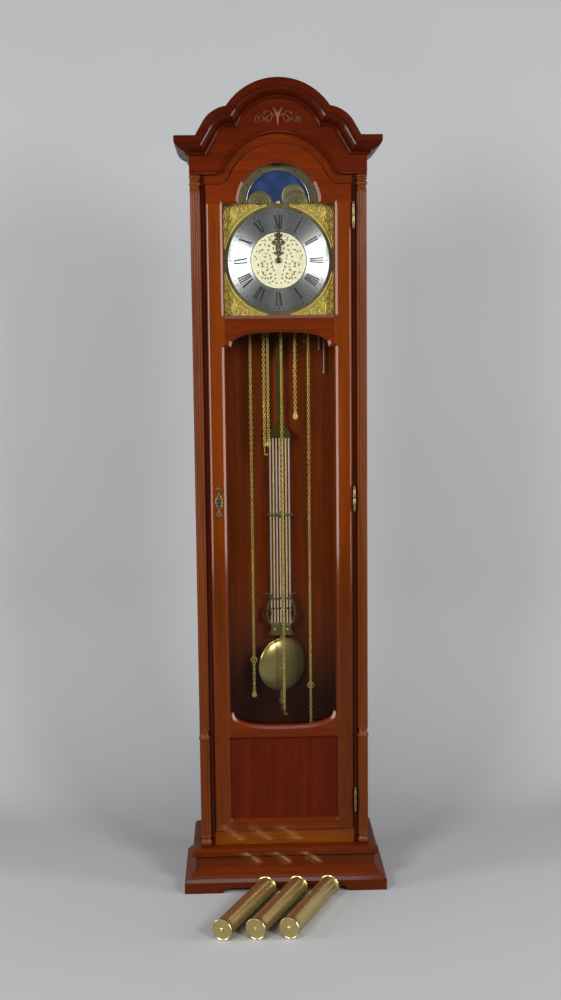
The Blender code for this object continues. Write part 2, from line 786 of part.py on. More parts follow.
def top_board():
    front = FRAME_SETBACK + RAIL_THICKNESS + CLEARANCE
    low = FRAME_TOP + CLEARANCE
    return block(-HALF_WIDTH, HALF_WIDTH, front, CASE_DEPTH, low, low + TOP_BOARD_THICKNESS)


def column(side):
    """A reeded quarter column: rings of points lofted from its foot to its capital."""
    ring, neck, shaft = COLUMN_RING_RADIUS, COLUMN_NECK_RADIUS, COLUMN_RADIUS

    def turning(low, height):
        shares = ((0, neck), (0.25, ring), (0.7, ring), (1, neck))
        return [(low + share * height, radius, 0) for share, radius in shares]

    low = BASE_TOP + CLEARANCE
    top = FRIEZE_Z - CLEARANCE
    middle = BASE_TOP + COLUMN_RING_RISE
    levels = turning(low, COLUMN_BASE_HEIGHT)
    levels += [(levels[-1][0] + REED_DEPTH, shaft, REED_DEPTH), (middle - REED_DEPTH, shaft, REED_DEPTH)]
    levels += turning(middle, COLUMN_RING_HEIGHT)
    levels += [(levels[-1][0] + REED_DEPTH, shaft, REED_DEPTH)]
    levels += [(top - COLUMN_CAPITAL_HEIGHT - REED_DEPTH, shaft, REED_DEPTH)]
    levels += turning(top - COLUMN_CAPITAL_HEIGHT, COLUMN_CAPITAL_HEIGHT)
    count = 2 * REED_COUNT
    rings = []
    for height, radius, depth in levels:
        points = []
        for i in range(count):
            angle = 2 * pi * i / count
            reach = radius - depth * (i % 2)
            x = side * (HALF_WIDTH - COLUMN_RADIUS) + reach * cos(angle)
            points.append((x, COLUMN_RADIUS + reach * sin(angle), height))
        rings.append(points)
    return lofted(rings)


def back_panel():
    top = FRAME_TOP
    return block(-HALF_WIDTH, HALF_WIDTH, BACK_FRONT, CASE_DEPTH, BASE_TOP + CLEARANCE, top)


def seat_board():
    """The shelf that carries the movement, with a slot for the chains."""
    x = HALF_WIDTH - SIDE_THICKNESS - CLEARANCE
    top = DIAL_Z - MOVEMENT_DROP - CLEARANCE
    board = block(-x, x, CHAIN_Y - SEAT_DEPTH / 2, CHAIN_Y + SEAT_DEPTH / 2, top - SEAT_THICKNESS, top)
    half = SEAT_SLOT_WIDTH / 2
    front = CHAIN_Y - SEAT_SLOT_DEPTH / 2
    back = CHAIN_Y + SEAT_SLOT_DEPTH / 2
    slot = block(-half, half, front, back, top - 2 * SEAT_THICKNESS, top + SEAT_THICKNESS)
    return cut(board, slot)


# Door


def sight_loop():
    """The dial opening of the door, anticlockwise: a square with an arch on top."""
    arch = arc(0, SIGHT_TOP, SIGHT_ARCH_RADIUS, 0, pi, 18)
    foot = [(-SIGHT_HALF, SIGHT_BOTTOM), (SIGHT_HALF, SIGHT_BOTTOM)]
    return [*foot, (SIGHT_HALF, SIGHT_TOP), *arch, (-SIGHT_HALF, SIGHT_TOP)]


def window_loop():
    """The window of the door, anticlockwise."""
    foot = WINDOW_BOTTOM + WINDOW_FOOT_DIP
    head = WINDOW_TOP - WINDOW_HEAD_RISE
    left_low, right_low = (-SIGHT_HALF, foot), (SIGHT_HALF, foot)
    left_high, right_high = (-SIGHT_HALF, head), (SIGHT_HALF, head)
    return [left_low, *window_foot(), right_low, right_high, *reversed(window_head()), left_high]


def panel_loop():
    x = SIGHT_HALF
    return [(-x, PANEL_BOTTOM), (x, PANEL_BOTTOM), (x, PANEL_TOP), (-x, PANEL_TOP)]


def bevel_cutter(loop):
    """A tapered plug that bevels the front edges of an opening."""
    rings = []
    slope = BEVEL_WIDTH / BEVEL_DEPTH
    for depth in (-BEVEL_DEPTH / 2, BEVEL_DEPTH - CLEARANCE):
        edge = grown(loop, (BEVEL_DEPTH - depth) * slope)
        rings.append([(x, DOOR_SETBACK + depth, z) for x, z in edge])
    return lofted(rings)


def door_stile(side):
    x0, x1 = sorted((side * SIGHT_HALF, side * DOOR_HALF))
    board = block(x0, x1, DOOR_SETBACK, DOOR_BACK, DOOR_BOTTOM, SIGHT_TOP - CLEARANCE)
    return cut(board, *(bevel_cutter(loop) for loop in (sight_loop(), window_loop(), panel_loop())))


def door_top_rail():
    upper = arched_edge(DOOR_HALF, DOOR_SHOULDER, DOOR_ARCH_RADIUS, DOOR_FILLET)
    arch = arc(0, SIGHT_TOP, SIGHT_ARCH_RADIUS, 0, pi, 18)
    lower = [(DOOR_HALF, SIGHT_TOP), *arch, (-DOOR_HALF, SIGHT_TOP)]
    board = plate([list(reversed(upper)) + list(reversed(lower))], DOOR_SETBACK, DOOR_BACK)
    return cut(board, bevel_cutter(sight_loop()))


def door_middle_rail():
    x = SIGHT_HALF - CLEARANCE
    corner = WINDOW_TOP - WINDOW_HEAD_RISE
    loop = [(-x, corner), *window_head(), (x, corner), (x, SIGHT_BOTTOM), (-x, SIGHT_BOTTOM)]
    board = plate([loop], DOOR_SETBACK, DOOR_BACK)
    return cut(board, bevel_cutter(sight_loop()), bevel_cutter(window_loop()))


def door_lower_rail():
    x = SIGHT_HALF - CLEARANCE
    corner = WINDOW_BOTTOM + WINDOW_FOOT_DIP
    loop = [(-x, PANEL_TOP), (x, PANEL_TOP), (x, corner), *reversed(window_foot()), (-x, corner)]
    board = plate([loop], DOOR_SETBACK, DOOR_BACK)
    return cut(board, bevel_cutter(window_loop()), bevel_cutter(panel_loop()))


def door_bottom_rail():
    x = SIGHT_HALF - CLEARANCE
    board = block(-x, x, DOOR_SETBACK, DOOR_BACK, DOOR_BOTTOM, PANEL_BOTTOM)
    return cut(board, bevel_cutter(panel_loop()))


def door_panel():
    x = SIGHT_HALF - CLEARANCE
    front = DOOR_SETBACK + PANEL_SETBACK
    low = PANEL_BOTTOM + CLEARANCE
    return block(-x, x, front, front + PANEL_THICKNESS, low, PANEL_TOP - CLEARANCE)


def door_glass():
    x = SIGHT_HALF + GLASS_LAP
    low = WINDOW_BOTTOM - GLASS_LAP
    high = SIGHT_TOP + GLASS_LAP
    radius = SIGHT_ARCH_RADIUS + GLASS_LAP
    rise = asin(GLASS_LAP / radius)
    arch = arc(0, SIGHT_TOP, radius, rise, pi - rise, 16)
    front = DOOR_BACK + CLEARANCE
    loop = [(-x, low), (x, low), (x, high), *arch, (-x, high)]
    return plate([loop], front, front + GLASS_THICKNESS)


def escutcheon():
    """A keyhole plate with a waved edge and a point at each end."""
    x = -(SIGHT_HALF + DOOR_HALF) / 2
    z = DOOR_BOTTOM + ESCUTCHEON_RISE
    half = ESCUTCHEON_HEIGHT / 2
    shares = ((0.0, 1.0), (0.12, 0.95), (0.25, 0.62), (0.38, 0.58), (0.52, 0.86), (0.66, 0.74))
    shares += ((0.76, 0.36), (0.85, 0.40), (0.93, 0.30), (1.0, 0.0))
    quarter = [(ESCUTCHEON_WIDTH / 2 * wide, half * up) for up, wide in shares]
    right = [(wide, -up) for wide, up in reversed(quarter[1:])] + quarter
    edge = [(x + px, z + pz) for px, pz in mirrored(right)]
    slot = KEYHOLE_RADIUS / 2
    meet = asin(slot / KEYHOLE_RADIUS)
    hole = arc(x, z + KEYHOLE_RADIUS, KEYHOLE_RADIUS, -pi / 2 + meet, 1.5 * pi - meet, 12)
    hole += [(x - slot, z - KEYHOLE_SLOT), (x + slot, z - KEYHOLE_SLOT)]
    back = DOOR_SETBACK - CLEARANCE
    return plate([edge, hole], back - ESCUTCHEON_THICKNESS, back)


# Hinges


def hinge_levels():
    return {
        "top": FRIEZE_Z - HINGE_TOP_DROP,
        "middle": DOOR_BOTTOM + HINGE_MIDDLE_RISE,
        "bottom": DOOR_BOTTOM + HINGE_BOTTOM_RISE,
    }


def hinge_case_leaf(level):
    """The lower knuckle with the pin, both finials and the leaf on the edge of the case stile."""
    half = HINGE_LENGTH / 2
    round_off = HINGE_RADIUS * 0.6
    pin = HINGE_PIN_RADIUS
    top = half + CLEARANCE
    profile = [
        (0, top + HINGE_FINIAL),
        (round_off / 2, top + HINGE_FINIAL * 0.9),
        (round_off, top + HINGE_FINIAL * 0.65),
        (round_off / 2, top + HINGE_FINIAL * 0.4),
        (HINGE_RADIUS, top + HINGE_FINIAL * 0.25),
        (HINGE_RADIUS, top),
        (pin, top),
        (pin, 0),
        (HINGE_RADIUS, 0),
        (HINGE_RADIUS, -half - HINGE_FINIAL * 0.25),
        (round_off / 2, -half - HINGE_FINIAL * 0.4),
        (round_off, -half - HINGE_FINIAL * 0.65),
        (round_off / 2, -half - HINGE_FINIAL * 0.9),
        (0, -half - HINGE_FINIAL),
    ]
    knuckle = turned(profile, 6, Matrix.Translation((HINGE_X, HINGE_Y, level)))
    leaf_x = STILE_X - CLEARANCE
    back = HINGE_Y + HINGE_RADIUS + HINGE_LEAF_DEPTH
    leaf = block(leaf_x - HINGE_LEAF, leaf_x, HINGE_Y, back, level - half, level - CLEARANCE)
    return joined(knuckle, leaf)


def hinge_door_leaf(level):
    """The upper knuckle and the leaf on the edge of the door."""
    half = HINGE_LENGTH / 2
    low = level + CLEARANCE
    leaf_x = DOOR_HALF + CLEARANCE
    back = HINGE_Y + HINGE_RADIUS + HINGE_LEAF_DEPTH
    leaf = block(leaf_x, leaf_x + HINGE_LEAF, HINGE_Y, back, low, level + half)
    bridge = block(leaf_x, HINGE_X, HINGE_Y, HINGE_Y + HINGE_RADIUS / 2, low, level + half)
    tube = rod((HINGE_X, HINGE_Y, low), (HINGE_X, HINGE_Y, level + half), HINGE_RADIUS)
    bore = HINGE_PIN_RADIUS + PIVOT_CLEARANCE
    over = HINGE_RADIUS
    hole = rod((HINGE_X, HINGE_Y, low - over), (HINGE_X, HINGE_Y, level + half + over), bore)
    return cut(joined(tube, bridge, leaf), hole)


# Dial


def dial_plate():
    """The dial plate with its arch, the moon's opening between two humps, and four feet."""
    half = DIAL_WIDTH / 2
    low, high = DIAL_Z - half, DIAL_Z + half
    rise = arc(0, MOON_Z, DIAL_ARCH_RADIUS, 0, pi, 16)
    edge = [(-half, low), (half, low), (half, high), *rise, (-half, high)]
    sky = arc(0, MOON_Z, SKY_RADIUS, 0, pi, 14)
    sky += arc(-HUMP_X, MOON_Z, HUMP_RADIUS, pi, 0, 8)
    notch = MOON_BOSS_RADIUS + PIVOT_CLEARANCE
    sky += arc(0, MOON_Z, notch, -pi, 0, 6)
    sky += arc(HUMP_X, MOON_Z, HUMP_RADIUS, pi, 0, 8)
    centre = circle(0, DIAL_Z, HOUR_PIPE_RADIUS + PIVOT_CLEARANCE, 16)
    back = DIAL_SETBACK + DIAL_THICKNESS
    sheet = plate([edge, sky, centre], DIAL_SETBACK, back)
    feet = []
    clear_of_moon = MOON_DISC_RADIUS + DIAL_FOOT_RADIUS + DIAL_FOOT_MARGIN
    upper = MOON_Z - sqrt(clear_of_moon**2 - DIAL_FOOT_X**2)
    for x in (-DIAL_FOOT_X, DIAL_FOOT_X):
        for z in (DIAL_Z - DIAL_FOOT_Z, upper):
            inside, end = DIAL_SETBACK + DIAL_THICKNESS / 2, MOVEMENT_SETBACK - CLEARANCE
            feet.append(rod((x, inside, z), (x, end, z), DIAL_FOOT_RADIUS, 6))
    return joined(sheet, *feet)


def raised_on_dial(loops):
    back = DIAL_SETBACK - CLEARANCE
    return plate(loops, back - RING_THICKNESS, back)


def chapter_ring():
    outer = circle(0, DIAL_Z, RING_OUTER_RADIUS, 40)
    return raised_on_dial([outer, circle(0, DIAL_Z, RING_INNER_RADIUS, 28)])


def dial_centre():
    hole = circle(0, DIAL_Z, HOUR_PIPE_RADIUS + PIVOT_CLEARANCE, 16)
    return raised_on_dial([circle(0, DIAL_Z, CENTRE_DISC_RADIUS, 28), hole])


def spandrel(side, up):
    """A corner piece between the square of the dial and the chapter ring."""
    half = DIAL_WIDTH / 2 - SPANDREL_MARGIN
    radius = RING_OUTER_RADIUS + SPANDREL_GAP
    tip = sqrt(max((radius + SPANDREL_TIP) ** 2 - half**2, SPANDREL_TIP**2))
    start = asin(tip / radius)
    loop = [(tip, half), (half, half), (half, tip)]
    loop += arc(0, 0, radius, start, pi / 2 - start, 12)
    return raised_on_dial([[(side * x, DIAL_Z + up * z) for x, z in loop]])


def moon_disc():
    front = DIAL_SETBACK + DIAL_THICKNESS + MOON_DISC_GAP
    disc = plate([circle(0, MOON_Z, MOON_DISC_RADIUS, 28)], front, front + DIAL_THICKNESS)
    middle = front + DIAL_THICKNESS / 2
    boss_front = DIAL_SETBACK - RING_THICKNESS
    boss = rod((0, boss_front, MOON_Z), (0, middle, MOON_Z), MOON_BOSS_RADIUS, 14)
    return joined(disc, boss, arbor(0, MOON_Z, middle, MOVEMENT_INSIDE - CLEARANCE))


def hand_loop(length, shape):
    """A hand that points up from the dial's centre: (distance, half width) pairs give its right edge."""
    first = asin(shape[0][1] / HAND_HUB_RADIUS)
    hub = arc(0, 0, HAND_HUB_RADIUS, -pi / 2, pi / 2 - first, 6)
    right = hub + [(half, far * length) for far, half in shape]
    return [(x, DIAL_Z + z) for x, z in mirrored(right)]


HOUR_SHAPE = ((0.10, 0.0018), (0.22, 0.0018), (0.30, 0.0065), (0.40, 0.0092), (0.50, 0.0065))
HOUR_SHAPE += ((0.57, 0.0018), (0.66, 0.0046), (0.76, 0.0032), (0.86, 0.0012), (1.0, 0.0))
HOUR_EYE = (0.40, 0.0050)
MINUTE_SHAPE = ((0.055, 0.0015), (0.27, 0.0015), (0.32, 0.0050), (0.38, 0.0068), (0.44, 0.0050))
MINUTE_SHAPE += ((0.49, 0.0014), (0.60, 0.0030), (0.68, 0.0020), (0.80, 0.0010), (1.0, 0.0))
MINUTE_EYE = (0.38, 0.0036)
HOUR_BACK = DIAL_SETBACK - CLEARANCE - RING_THICKNESS - HAND_SPACE
MINUTE_BACK = HOUR_BACK - HAND_THICKNESS - HAND_SPACE / 2
CENTRE_FRONT = MINUTE_BACK - HAND_THICKNESS - HAND_NUT_RADIUS / 2


def hour_hand():
    """The hour hand on its pipe, which runs back to the movement."""
    far, radius = HOUR_EYE
    eye = circle(0, DIAL_Z + far * HOUR_HAND_LENGTH, radius, 8)
    front = HOUR_BACK - HAND_THICKNESS
    blade = plate([hand_loop(HOUR_HAND_LENGTH, HOUR_SHAPE), eye], front, HOUR_BACK)
    inside, end = HOUR_BACK - HAND_THICKNESS / 2, MOVEMENT_SETBACK - CLEARANCE
    pipe = rod((0, inside, DIAL_Z), (0, end, DIAL_Z), HOUR_PIPE_RADIUS)
    bore = ARBOR_RADIUS + PIVOT_CLEARANCE
    hole = rod((0, front - HAND_SPACE, DIAL_Z), (0, MOVEMENT_INSIDE, DIAL_Z), bore)
    return cut(joined(blade, pipe), hole)


def minute_hand():
    """The minute hand with the round nut that holds it on the centre arbor."""
    far, radius = MINUTE_EYE
    eye = circle(0, DIAL_Z + far * MINUTE_HAND_LENGTH, radius, 8)
    front = MINUTE_BACK - HAND_THICKNESS
    blade = plate([hand_loop(MINUTE_HAND_LENGTH, MINUTE_SHAPE), eye], front, MINUTE_BACK)
    inside = MINUTE_BACK - HAND_THICKNESS / 2
    nut = rod((0, CENTRE_FRONT, DIAL_Z), (0, inside, DIAL_Z), HAND_NUT_RADIUS, 14)
    bore = ARBOR_RADIUS + CLEARANCE
    hole = rod((0, CENTRE_FRONT - HAND_SPACE, DIAL_Z), (0, HOUR_BACK, DIAL_Z), bore)
    return cut(joined(blade, nut), hole)


# Movement

GREAT_Y = MOVEMENT_INSIDE + GREAT_WHEEL_AT
CENTRE_WHEEL_Y = MOVEMENT_INSIDE + CENTRE_WHEEL_AT
THIRD_WHEEL_Y = MOVEMENT_INSIDE + THIRD_WHEEL_AT
ESCAPE_WHEEL_Y = MOVEMENT_INSIDE + ESCAPE_WHEEL_AT
STRIKE_GREAT_Y = MOVEMENT_INSIDE + STRIKE_WHEEL_AT
GREAT_REACH = hypot(GOING_SPOOL_X, SPOOL_DROP)
GREAT_RADIUS = GREAT_REACH * GREAT_TEETH / (GREAT_TEETH + CENTRE_LEAVES)
CENTRE_PINION_RADIUS = GREAT_REACH - GREAT_RADIUS
CENTRE_RADIUS = CENTRE_TO_THIRD * CENTRE_TEETH / (CENTRE_TEETH + THIRD_LEAVES)
THIRD_PINION_RADIUS = CENTRE_TO_THIRD - CENTRE_RADIUS
THIRD_RADIUS = THIRD_TO_ESCAPE * THIRD_TEETH / (THIRD_TEETH + ESCAPE_LEAVES)
ESCAPE_PINION_RADIUS = THIRD_TO_ESCAPE - THIRD_RADIUS
GREAT_TO_CENTRE = atan2(SPOOL_DROP, -GOING_SPOOL_X)
THIRD_TO_ESCAPE_ANGLE = atan2(ESCAPE_Z - THIRD_Z, -THIRD_X)
PINION_LENGTH = WHEEL_THICKNESS + 2 * PINION_OVERLAP


def wheel(loop, holes, middle, thickness=WHEEL_THICKNESS):
    return plate([loop, *holes], middle - thickness / 2, middle + thickness / 2)


def arbor_points():
    """Every arbor that runs in both plates, as (x, z)."""
    spools = [(x, SPOOL_Z) for x in (STRIKE_SPOOL_X, GOING_SPOOL_X, CHIME_SPOOL_X)]
    return [*spools, (0, DIAL_Z), (THIRD_X, THIRD_Z), (0, ESCAPE_Z), (0, ANCHOR_Z)]


def movement_front_plate():
    """The front plate, with a tongue on top that carries the moon's arbor."""
    half = MOVEMENT_WIDTH / 2
    low, high = DIAL_Z - MOVEMENT_DROP, DIAL_Z + MOVEMENT_RISE
    tongue = MOON_TONGUE_WIDTH / 2
    edge = [(-half, low), (half, low), (half, high), (tongue, high), (tongue, MOON_Z)]
    edge += arc(0, MOON_Z, tongue, 0, pi, 10)[1:-1]
    edge += [(-tongue, MOON_Z), (-tongue, high), (-half, high)]
    holes = [bearing(x, z) for x, z in (*arbor_points(), (0, MOON_Z))]
    return plate([edge, *holes], MOVEMENT_SETBACK, MOVEMENT_INSIDE)


def movement_back_plate():
    """The back plate, with the four pillars and the cock from which the pendulum hangs."""
    half = MOVEMENT_WIDTH / 2
    low, high = DIAL_Z - MOVEMENT_DROP, DIAL_Z + MOVEMENT_RISE
    back = MOVEMENT_BACK + MOVEMENT_PLATE
    edge = [(-half, low), (half, low), (half, high), (-half, high)]
    sheet = plate([edge, *(bearing(x, z) for x, z in arbor_points())], MOVEMENT_BACK, back)
    extras = []
    middle = MOVEMENT_BACK + MOVEMENT_PLATE / 2
    pillar_end = MOVEMENT_INSIDE + CLEARANCE
    for x in (-half + PILLAR_INSET, half - PILLAR_INSET):
        for z in (low + PILLAR_INSET, high - PILLAR_INSET):
            extras.append(rod((x, pillar_end, z), (x, middle, z), PILLAR_RADIUS, 8))
    cock_low = ANCHOR_Z + LEADER_WIDTH / 2
    cock_back = PENDULUM_SETBACK + GRID_THICKNESS
    cock_high = cock_low + LEADER_WIDTH / 2
    cock = block(-LEADER_WIDTH, LEADER_WIDTH, middle, cock_back, cock_low, cock_high)
    return joined(sheet, cock, *extras)


def spool(x, middle):
    """A chain wheel: a grooved drum between two flanges."""
    flange = SPOOL_FLANGE_RADIUS
    core = SPOOL_RADIUS - CHAIN_RADIUS - 2 * CLEARANCE
    groove = SPOOL_GROOVE / 2
    end = groove + SPOOL_FLANGE
    profile = [(0, end), (flange, end), (flange, groove), (core, groove)]
    profile += [(core, -groove), (flange, -groove), (flange, -end), (0, -end)]
    return turned(profile, 12, turn_to_y(x, middle, SPOOL_Z))


def full_arbor(x, z):
    return arbor(x, z, MOVEMENT_SETBACK + CLEARANCE, MOVEMENT_BACK + MOVEMENT_PLATE - CLEARANCE)


def going_great_wheel():
    x, z = GOING_SPOOL_X, SPOOL_Z
    teeth = gear(x, z, GREAT_TEETH, GREAT_RADIUS, GREAT_TO_CENTRE, WHEEL_TOOTH)
    holes = crossings(x, z, SPOOL_FLANGE_RADIUS, GREAT_RADIUS * 0.86, 4, GREAT_ARM_WIDTH)
    return joined(wheel(teeth, holes, GREAT_Y), spool(x, CHAIN_Y), full_arbor(x, z))


def strike_great_wheel(x):
    z = SPOOL_Z
    teeth = gear(x, z, STRIKE_GREAT_TEETH, STRIKE_GREAT_RADIUS, 0, WHEEL_TOOTH)
    return joined(wheel(teeth, [], STRIKE_GREAT_Y), spool(x, CHAIN_Y), full_arbor(x, z))


def centre_wheel():
    """The centre arbor, which carries the minute hand in front of the dial."""
    facing = GREAT_TO_CENTRE + pi + pi / CENTRE_LEAVES
    leaves = gear(0, DIAL_Z, CENTRE_LEAVES, CENTRE_PINION_RADIUS, facing, PINION_LEAF)
    pinion = wheel(leaves, [], GREAT_Y, PINION_LENGTH)
    teeth = gear(0, DIAL_Z, CENTRE_TEETH, CENTRE_RADIUS, THIRD_ANGLE, WHEEL_TOOTH)
    holes = crossings(0, DIAL_Z, CENTRE_RADIUS * 0.30, CENTRE_RADIUS * 0.82, 4, WHEEL_ARM_WIDTH)
    spindle = arbor(0, DIAL_Z, CENTRE_FRONT + CLEARANCE, MOVEMENT_BACK + MOVEMENT_PLATE - CLEARANCE)
    return joined(wheel(teeth, holes, CENTRE_WHEEL_Y), pinion, spindle)


def third_wheel():
    x, z = THIRD_X, THIRD_Z
    facing = THIRD_ANGLE + pi + pi / THIRD_LEAVES
    leaves = gear(x, z, THIRD_LEAVES, THIRD_PINION_RADIUS, facing, PINION_LEAF)
    teeth = gear(x, z, THIRD_TEETH, THIRD_RADIUS, THIRD_TO_ESCAPE_ANGLE, WHEEL_TOOTH)
    holes = crossings(x, z, THIRD_RADIUS * 0.30, THIRD_RADIUS * 0.82, 4, WHEEL_ARM_WIDTH)
    pinion = wheel(leaves, [], CENTRE_WHEEL_Y, PINION_LENGTH)
    return joined(wheel(teeth, holes, THIRD_WHEEL_Y), pinion, full_arbor(x, z))


def escape_wheel():
    """Thirty raked teeth for the anchor, and the pinion that the third wheel drives."""
    z = ESCAPE_Z
    facing = THIRD_TO_ESCAPE_ANGLE + pi + pi / ESCAPE_LEAVES
    leaves = gear(0, z, ESCAPE_LEAVES, ESCAPE_PINION_RADIUS, facing, PINION_LEAF)
    loop = []
    step = 2 * pi / ESCAPE_TEETH
    for tooth in range(ESCAPE_TEETH):
        root = ESCAPE_RADIUS * 0.84
        loop.append((root * cos(tooth * step), z + root * sin(tooth * step)))
        point = (tooth + 0.15) * step
        loop.append((ESCAPE_RADIUS * cos(point), z + ESCAPE_RADIUS * sin(point)))
    holes = crossings(0, z, ESCAPE_RADIUS * 0.32, ESCAPE_RADIUS * 0.72, 4, WHEEL_ARM_WIDTH)
    pinion = wheel(leaves, [], THIRD_WHEEL_Y, PINION_LENGTH)
    teeth = wheel(loop, holes, ESCAPE_WHEEL_Y, WHEEL_THICKNESS * 0.8)
    return joined(teeth, pinion, full_arbor(0, z))


def anchor_crutch():
    """The anchor over the escape wheel, its arbor, and the crutch that steers the pendulum."""
    z = ANCHOR_Z
    boss = ARBOR_RADIUS * 2.4
    right = [(boss / 3, z + boss), (boss, z + boss / 2), (ESCAPE_RADIUS * 0.7, z - boss / 2)]
    pallet = ((1.12, PALLET_END), (1, PALLET_END), (1, PALLET_ANGLE))
    for share, angle in pallet:
        reach = PALLET_RADIUS * share
        right.append((reach * sin(angle), ESCAPE_Z + reach * cos(angle)))
    right += [(ESCAPE_RADIUS * 0.55, z - boss * 1.2), (boss / 3, z - boss)]
    anchor = wheel(mirrored(right), [], ESCAPE_WHEEL_Y)
    behind = MOVEMENT_BACK + MOVEMENT_PLATE + PIVOT_CLEARANCE
    arm_back = behind + LEADER_THICKNESS
    spindle_front, spindle_back = MOVEMENT_SETBACK + CLEARANCE, arm_back - CLEARANCE
    spindle = rod((0, spindle_front, z), (0, spindle_back, z), ARBOR_RADIUS)
    foot_low = z - CRUTCH_LENGTH
    foot_high = foot_low + LEADER_THICKNESS
    arm = [(-boss / 2, foot_low), (boss / 2, foot_low), *arc(0, z, boss, 0, pi, 8)]
    half = LEADER_WIDTH / 2 + LEADER_THICKNESS
    fork = block(-half, half, behind, PENDULUM_SETBACK, foot_low, foot_high)
    slot_half = LEADER_WIDTH / 2 + 2 * CLEARANCE
    slot_front = PENDULUM_SETBACK - GRID_THICKNESS / 2 - LEADER_THICKNESS - 3 * CLEARANCE
    slot_back = 2 * PENDULUM_SETBACK
    slot = block(-slot_half, slot_half, slot_front, slot_back, foot_low - half, foot_high + half)
    return joined(anchor, spindle, plate([arm], behind, arm_back), cut(fork, slot))


# Chains and chime rods


def chain(x, falls):
    """A chain laid over its spool, as a tube of the chain's mean thickness."""
    left, right = falls
    route = [(x - SPOOL_RADIUS, SPOOL_Z - left)]
    route += arc(x, SPOOL_Z, SPOOL_RADIUS, pi, 0, 8)
    route += [(x + SPOOL_RADIUS, SPOOL_Z - right)]
    curve = bpy.data.curves.new("chain", "CURVE")
    curve.dimensions = "3D"
    curve.bevel_depth = CHAIN_RADIUS
    curve.bevel_resolution = 1
    curve.use_fill_caps = True
    spline = curve.splines.new("POLY")
    spline.points.add(len(route) - 1)
    for point, (px, pz) in zip(spline.points, route):
        point.co = (px, CHAIN_Y, pz, 1)
    return baked(working_object(curve))


def chime_rods():
    """A block on the back panel with a row of rods that hang from it."""
    back = BACK_FRONT - CLEARANCE
    y = back - CHIME_BLOCK_DEPTH / 2
    low = DIAL_Z + CHIME_BLOCK_RISE
    last = CHIME_FIRST_ROD_X + CHIME_ROD_PITCH * (len(CHIME_ROD_LENGTHS) - 1)
    x0, x1 = CHIME_FIRST_ROD_X - CHIME_ROD_PITCH, last + CHIME_ROD_PITCH
    body = block(x0, x1, back - CHIME_BLOCK_DEPTH, back, low, low + CHIME_BLOCK_HEIGHT)
    rods = []
    for i, length in enumerate(CHIME_ROD_LENGTHS):
        x = CHIME_FIRST_ROD_X + i * CHIME_ROD_PITCH
        top = low + CHIME_BLOCK_HEIGHT / 2
        rods.append(rod((x, y, top), (x, y, low - length), CHIME_ROD_RADIUS, 6))
    return joined(body, *rods)


# Pendulum

LEADER_BACK = PENDULUM_SETBACK - GRID_THICKNESS / 2 - CLEARANCE
GRID_HALF = GRID_ROD_PITCH * (GRID_ROD_COUNT - 1) / 2 + GRID_ROD_RADIUS * 1.8


def pendulum_leader():
    """The suspension strip and the flat leader, widened at its foot to hook on the grid."""
    top = ANCHOR_Z + LEADER_WIDTH / 2 - 2 * CLEARANCE
    strip = LEADER_WIDTH * 0.32
    wide = LEADER_WIDTH / 2
    neck = ANCHOR_Z - LEADER_WIDTH
    foot = GRID_TOP + LEADER_WIDTH * 3
    right = [(GRID_HALF, GRID_TOP), (GRID_HALF, GRID_TOP + LEADER_WIDTH), (wide, foot)]
    right += [(wide, neck - strip), (strip, neck), (strip, top)]
    return plate([mirrored(right)], LEADER_BACK - LEADER_THICKNESS, LEADER_BACK)


def lyre_loop():
    """The two arms of the lyre, which curl outwards at the top, and the base that joins them."""
    half, low = LYRE_WIDTH / 2, LYRE_BOTTOM
    shape = ((0.62, 0.0), (0.62, 0.16), (0.78, 0.26), (0.96, 0.42), (0.92, 0.62), (0.74, 0.78))
    shape += ((0.80, 0.92), (1.0, 0.96), (0.92, 1.0), (0.70, 0.97), (0.58, 0.80), (0.70, 0.62))
    shape += ((0.74, 0.44), (0.62, 0.32), (0.50, 0.26))
    right = smooth([(half * x, low + LYRE_HEIGHT * z) for x, z in shape], 2)
    return mirrored([(0, low), *right, (0, low + LYRE_HEIGHT * 0.26)])


def pendulum_grid():
    """Seven rods held by a top bar, a brace and a lyre, and the rod that carries the bob."""
    y = PENDULUM_SETBACK
    low = LYRE_BOTTOM + LYRE_HEIGHT * 0.2
    thick = GRID_THICKNESS / 2
    rods = []
    for i in range(GRID_ROD_COUNT):
        x = (i - (GRID_ROD_COUNT - 1) / 2) * GRID_ROD_PITCH
        rods.append(rod((x, y, low), (x, y, GRID_TOP + GRID_ROD_RADIUS), GRID_ROD_RADIUS, 6))
    top = block(-GRID_HALF, GRID_HALF, y - thick, y + thick, GRID_TOP, GRID_TOP + GRID_ROD_PITCH)
    brace_z = GRID_TOP - GRID_BRACE_DROP
    wide = GRID_BRACE_WIDTH / 2
    high = GRID_BRACE_HEIGHT / 2
    shares = ((0, -1), (0.3, -0.5), (0.8, -0.38), (1, 0), (0.8, 0.38), (0.3, 0.5), (0, 1))
    brace_right = [(wide * across, brace_z + high * up) for across, up in shares]
    brace = plate([mirrored(brace_right)], y - thick, y + thick)
    lyre = plate([lyre_loop()], y - LYRE_THICKNESS / 2, y + LYRE_THICKNESS / 2)
    bars = []
    reach = LYRE_WIDTH / 2 * 0.72
    deep = LYRE_THICKNESS * 0.45
    for share in (0.62, 0.82):
        z = LYRE_BOTTOM + LYRE_HEIGHT * share
        bars.append(block(-reach, reach, y - deep, y + deep, z, z + LYRE_BAR_HEIGHT))
    stem = rod((0, y, low), (0, y, NUT_Z - NUT_HEIGHT / 2 - ROD_TIP_LENGTH), PENDULUM_ROD_RADIUS, 10)
    return joined(lyre, top, brace, *bars, *rods, stem)


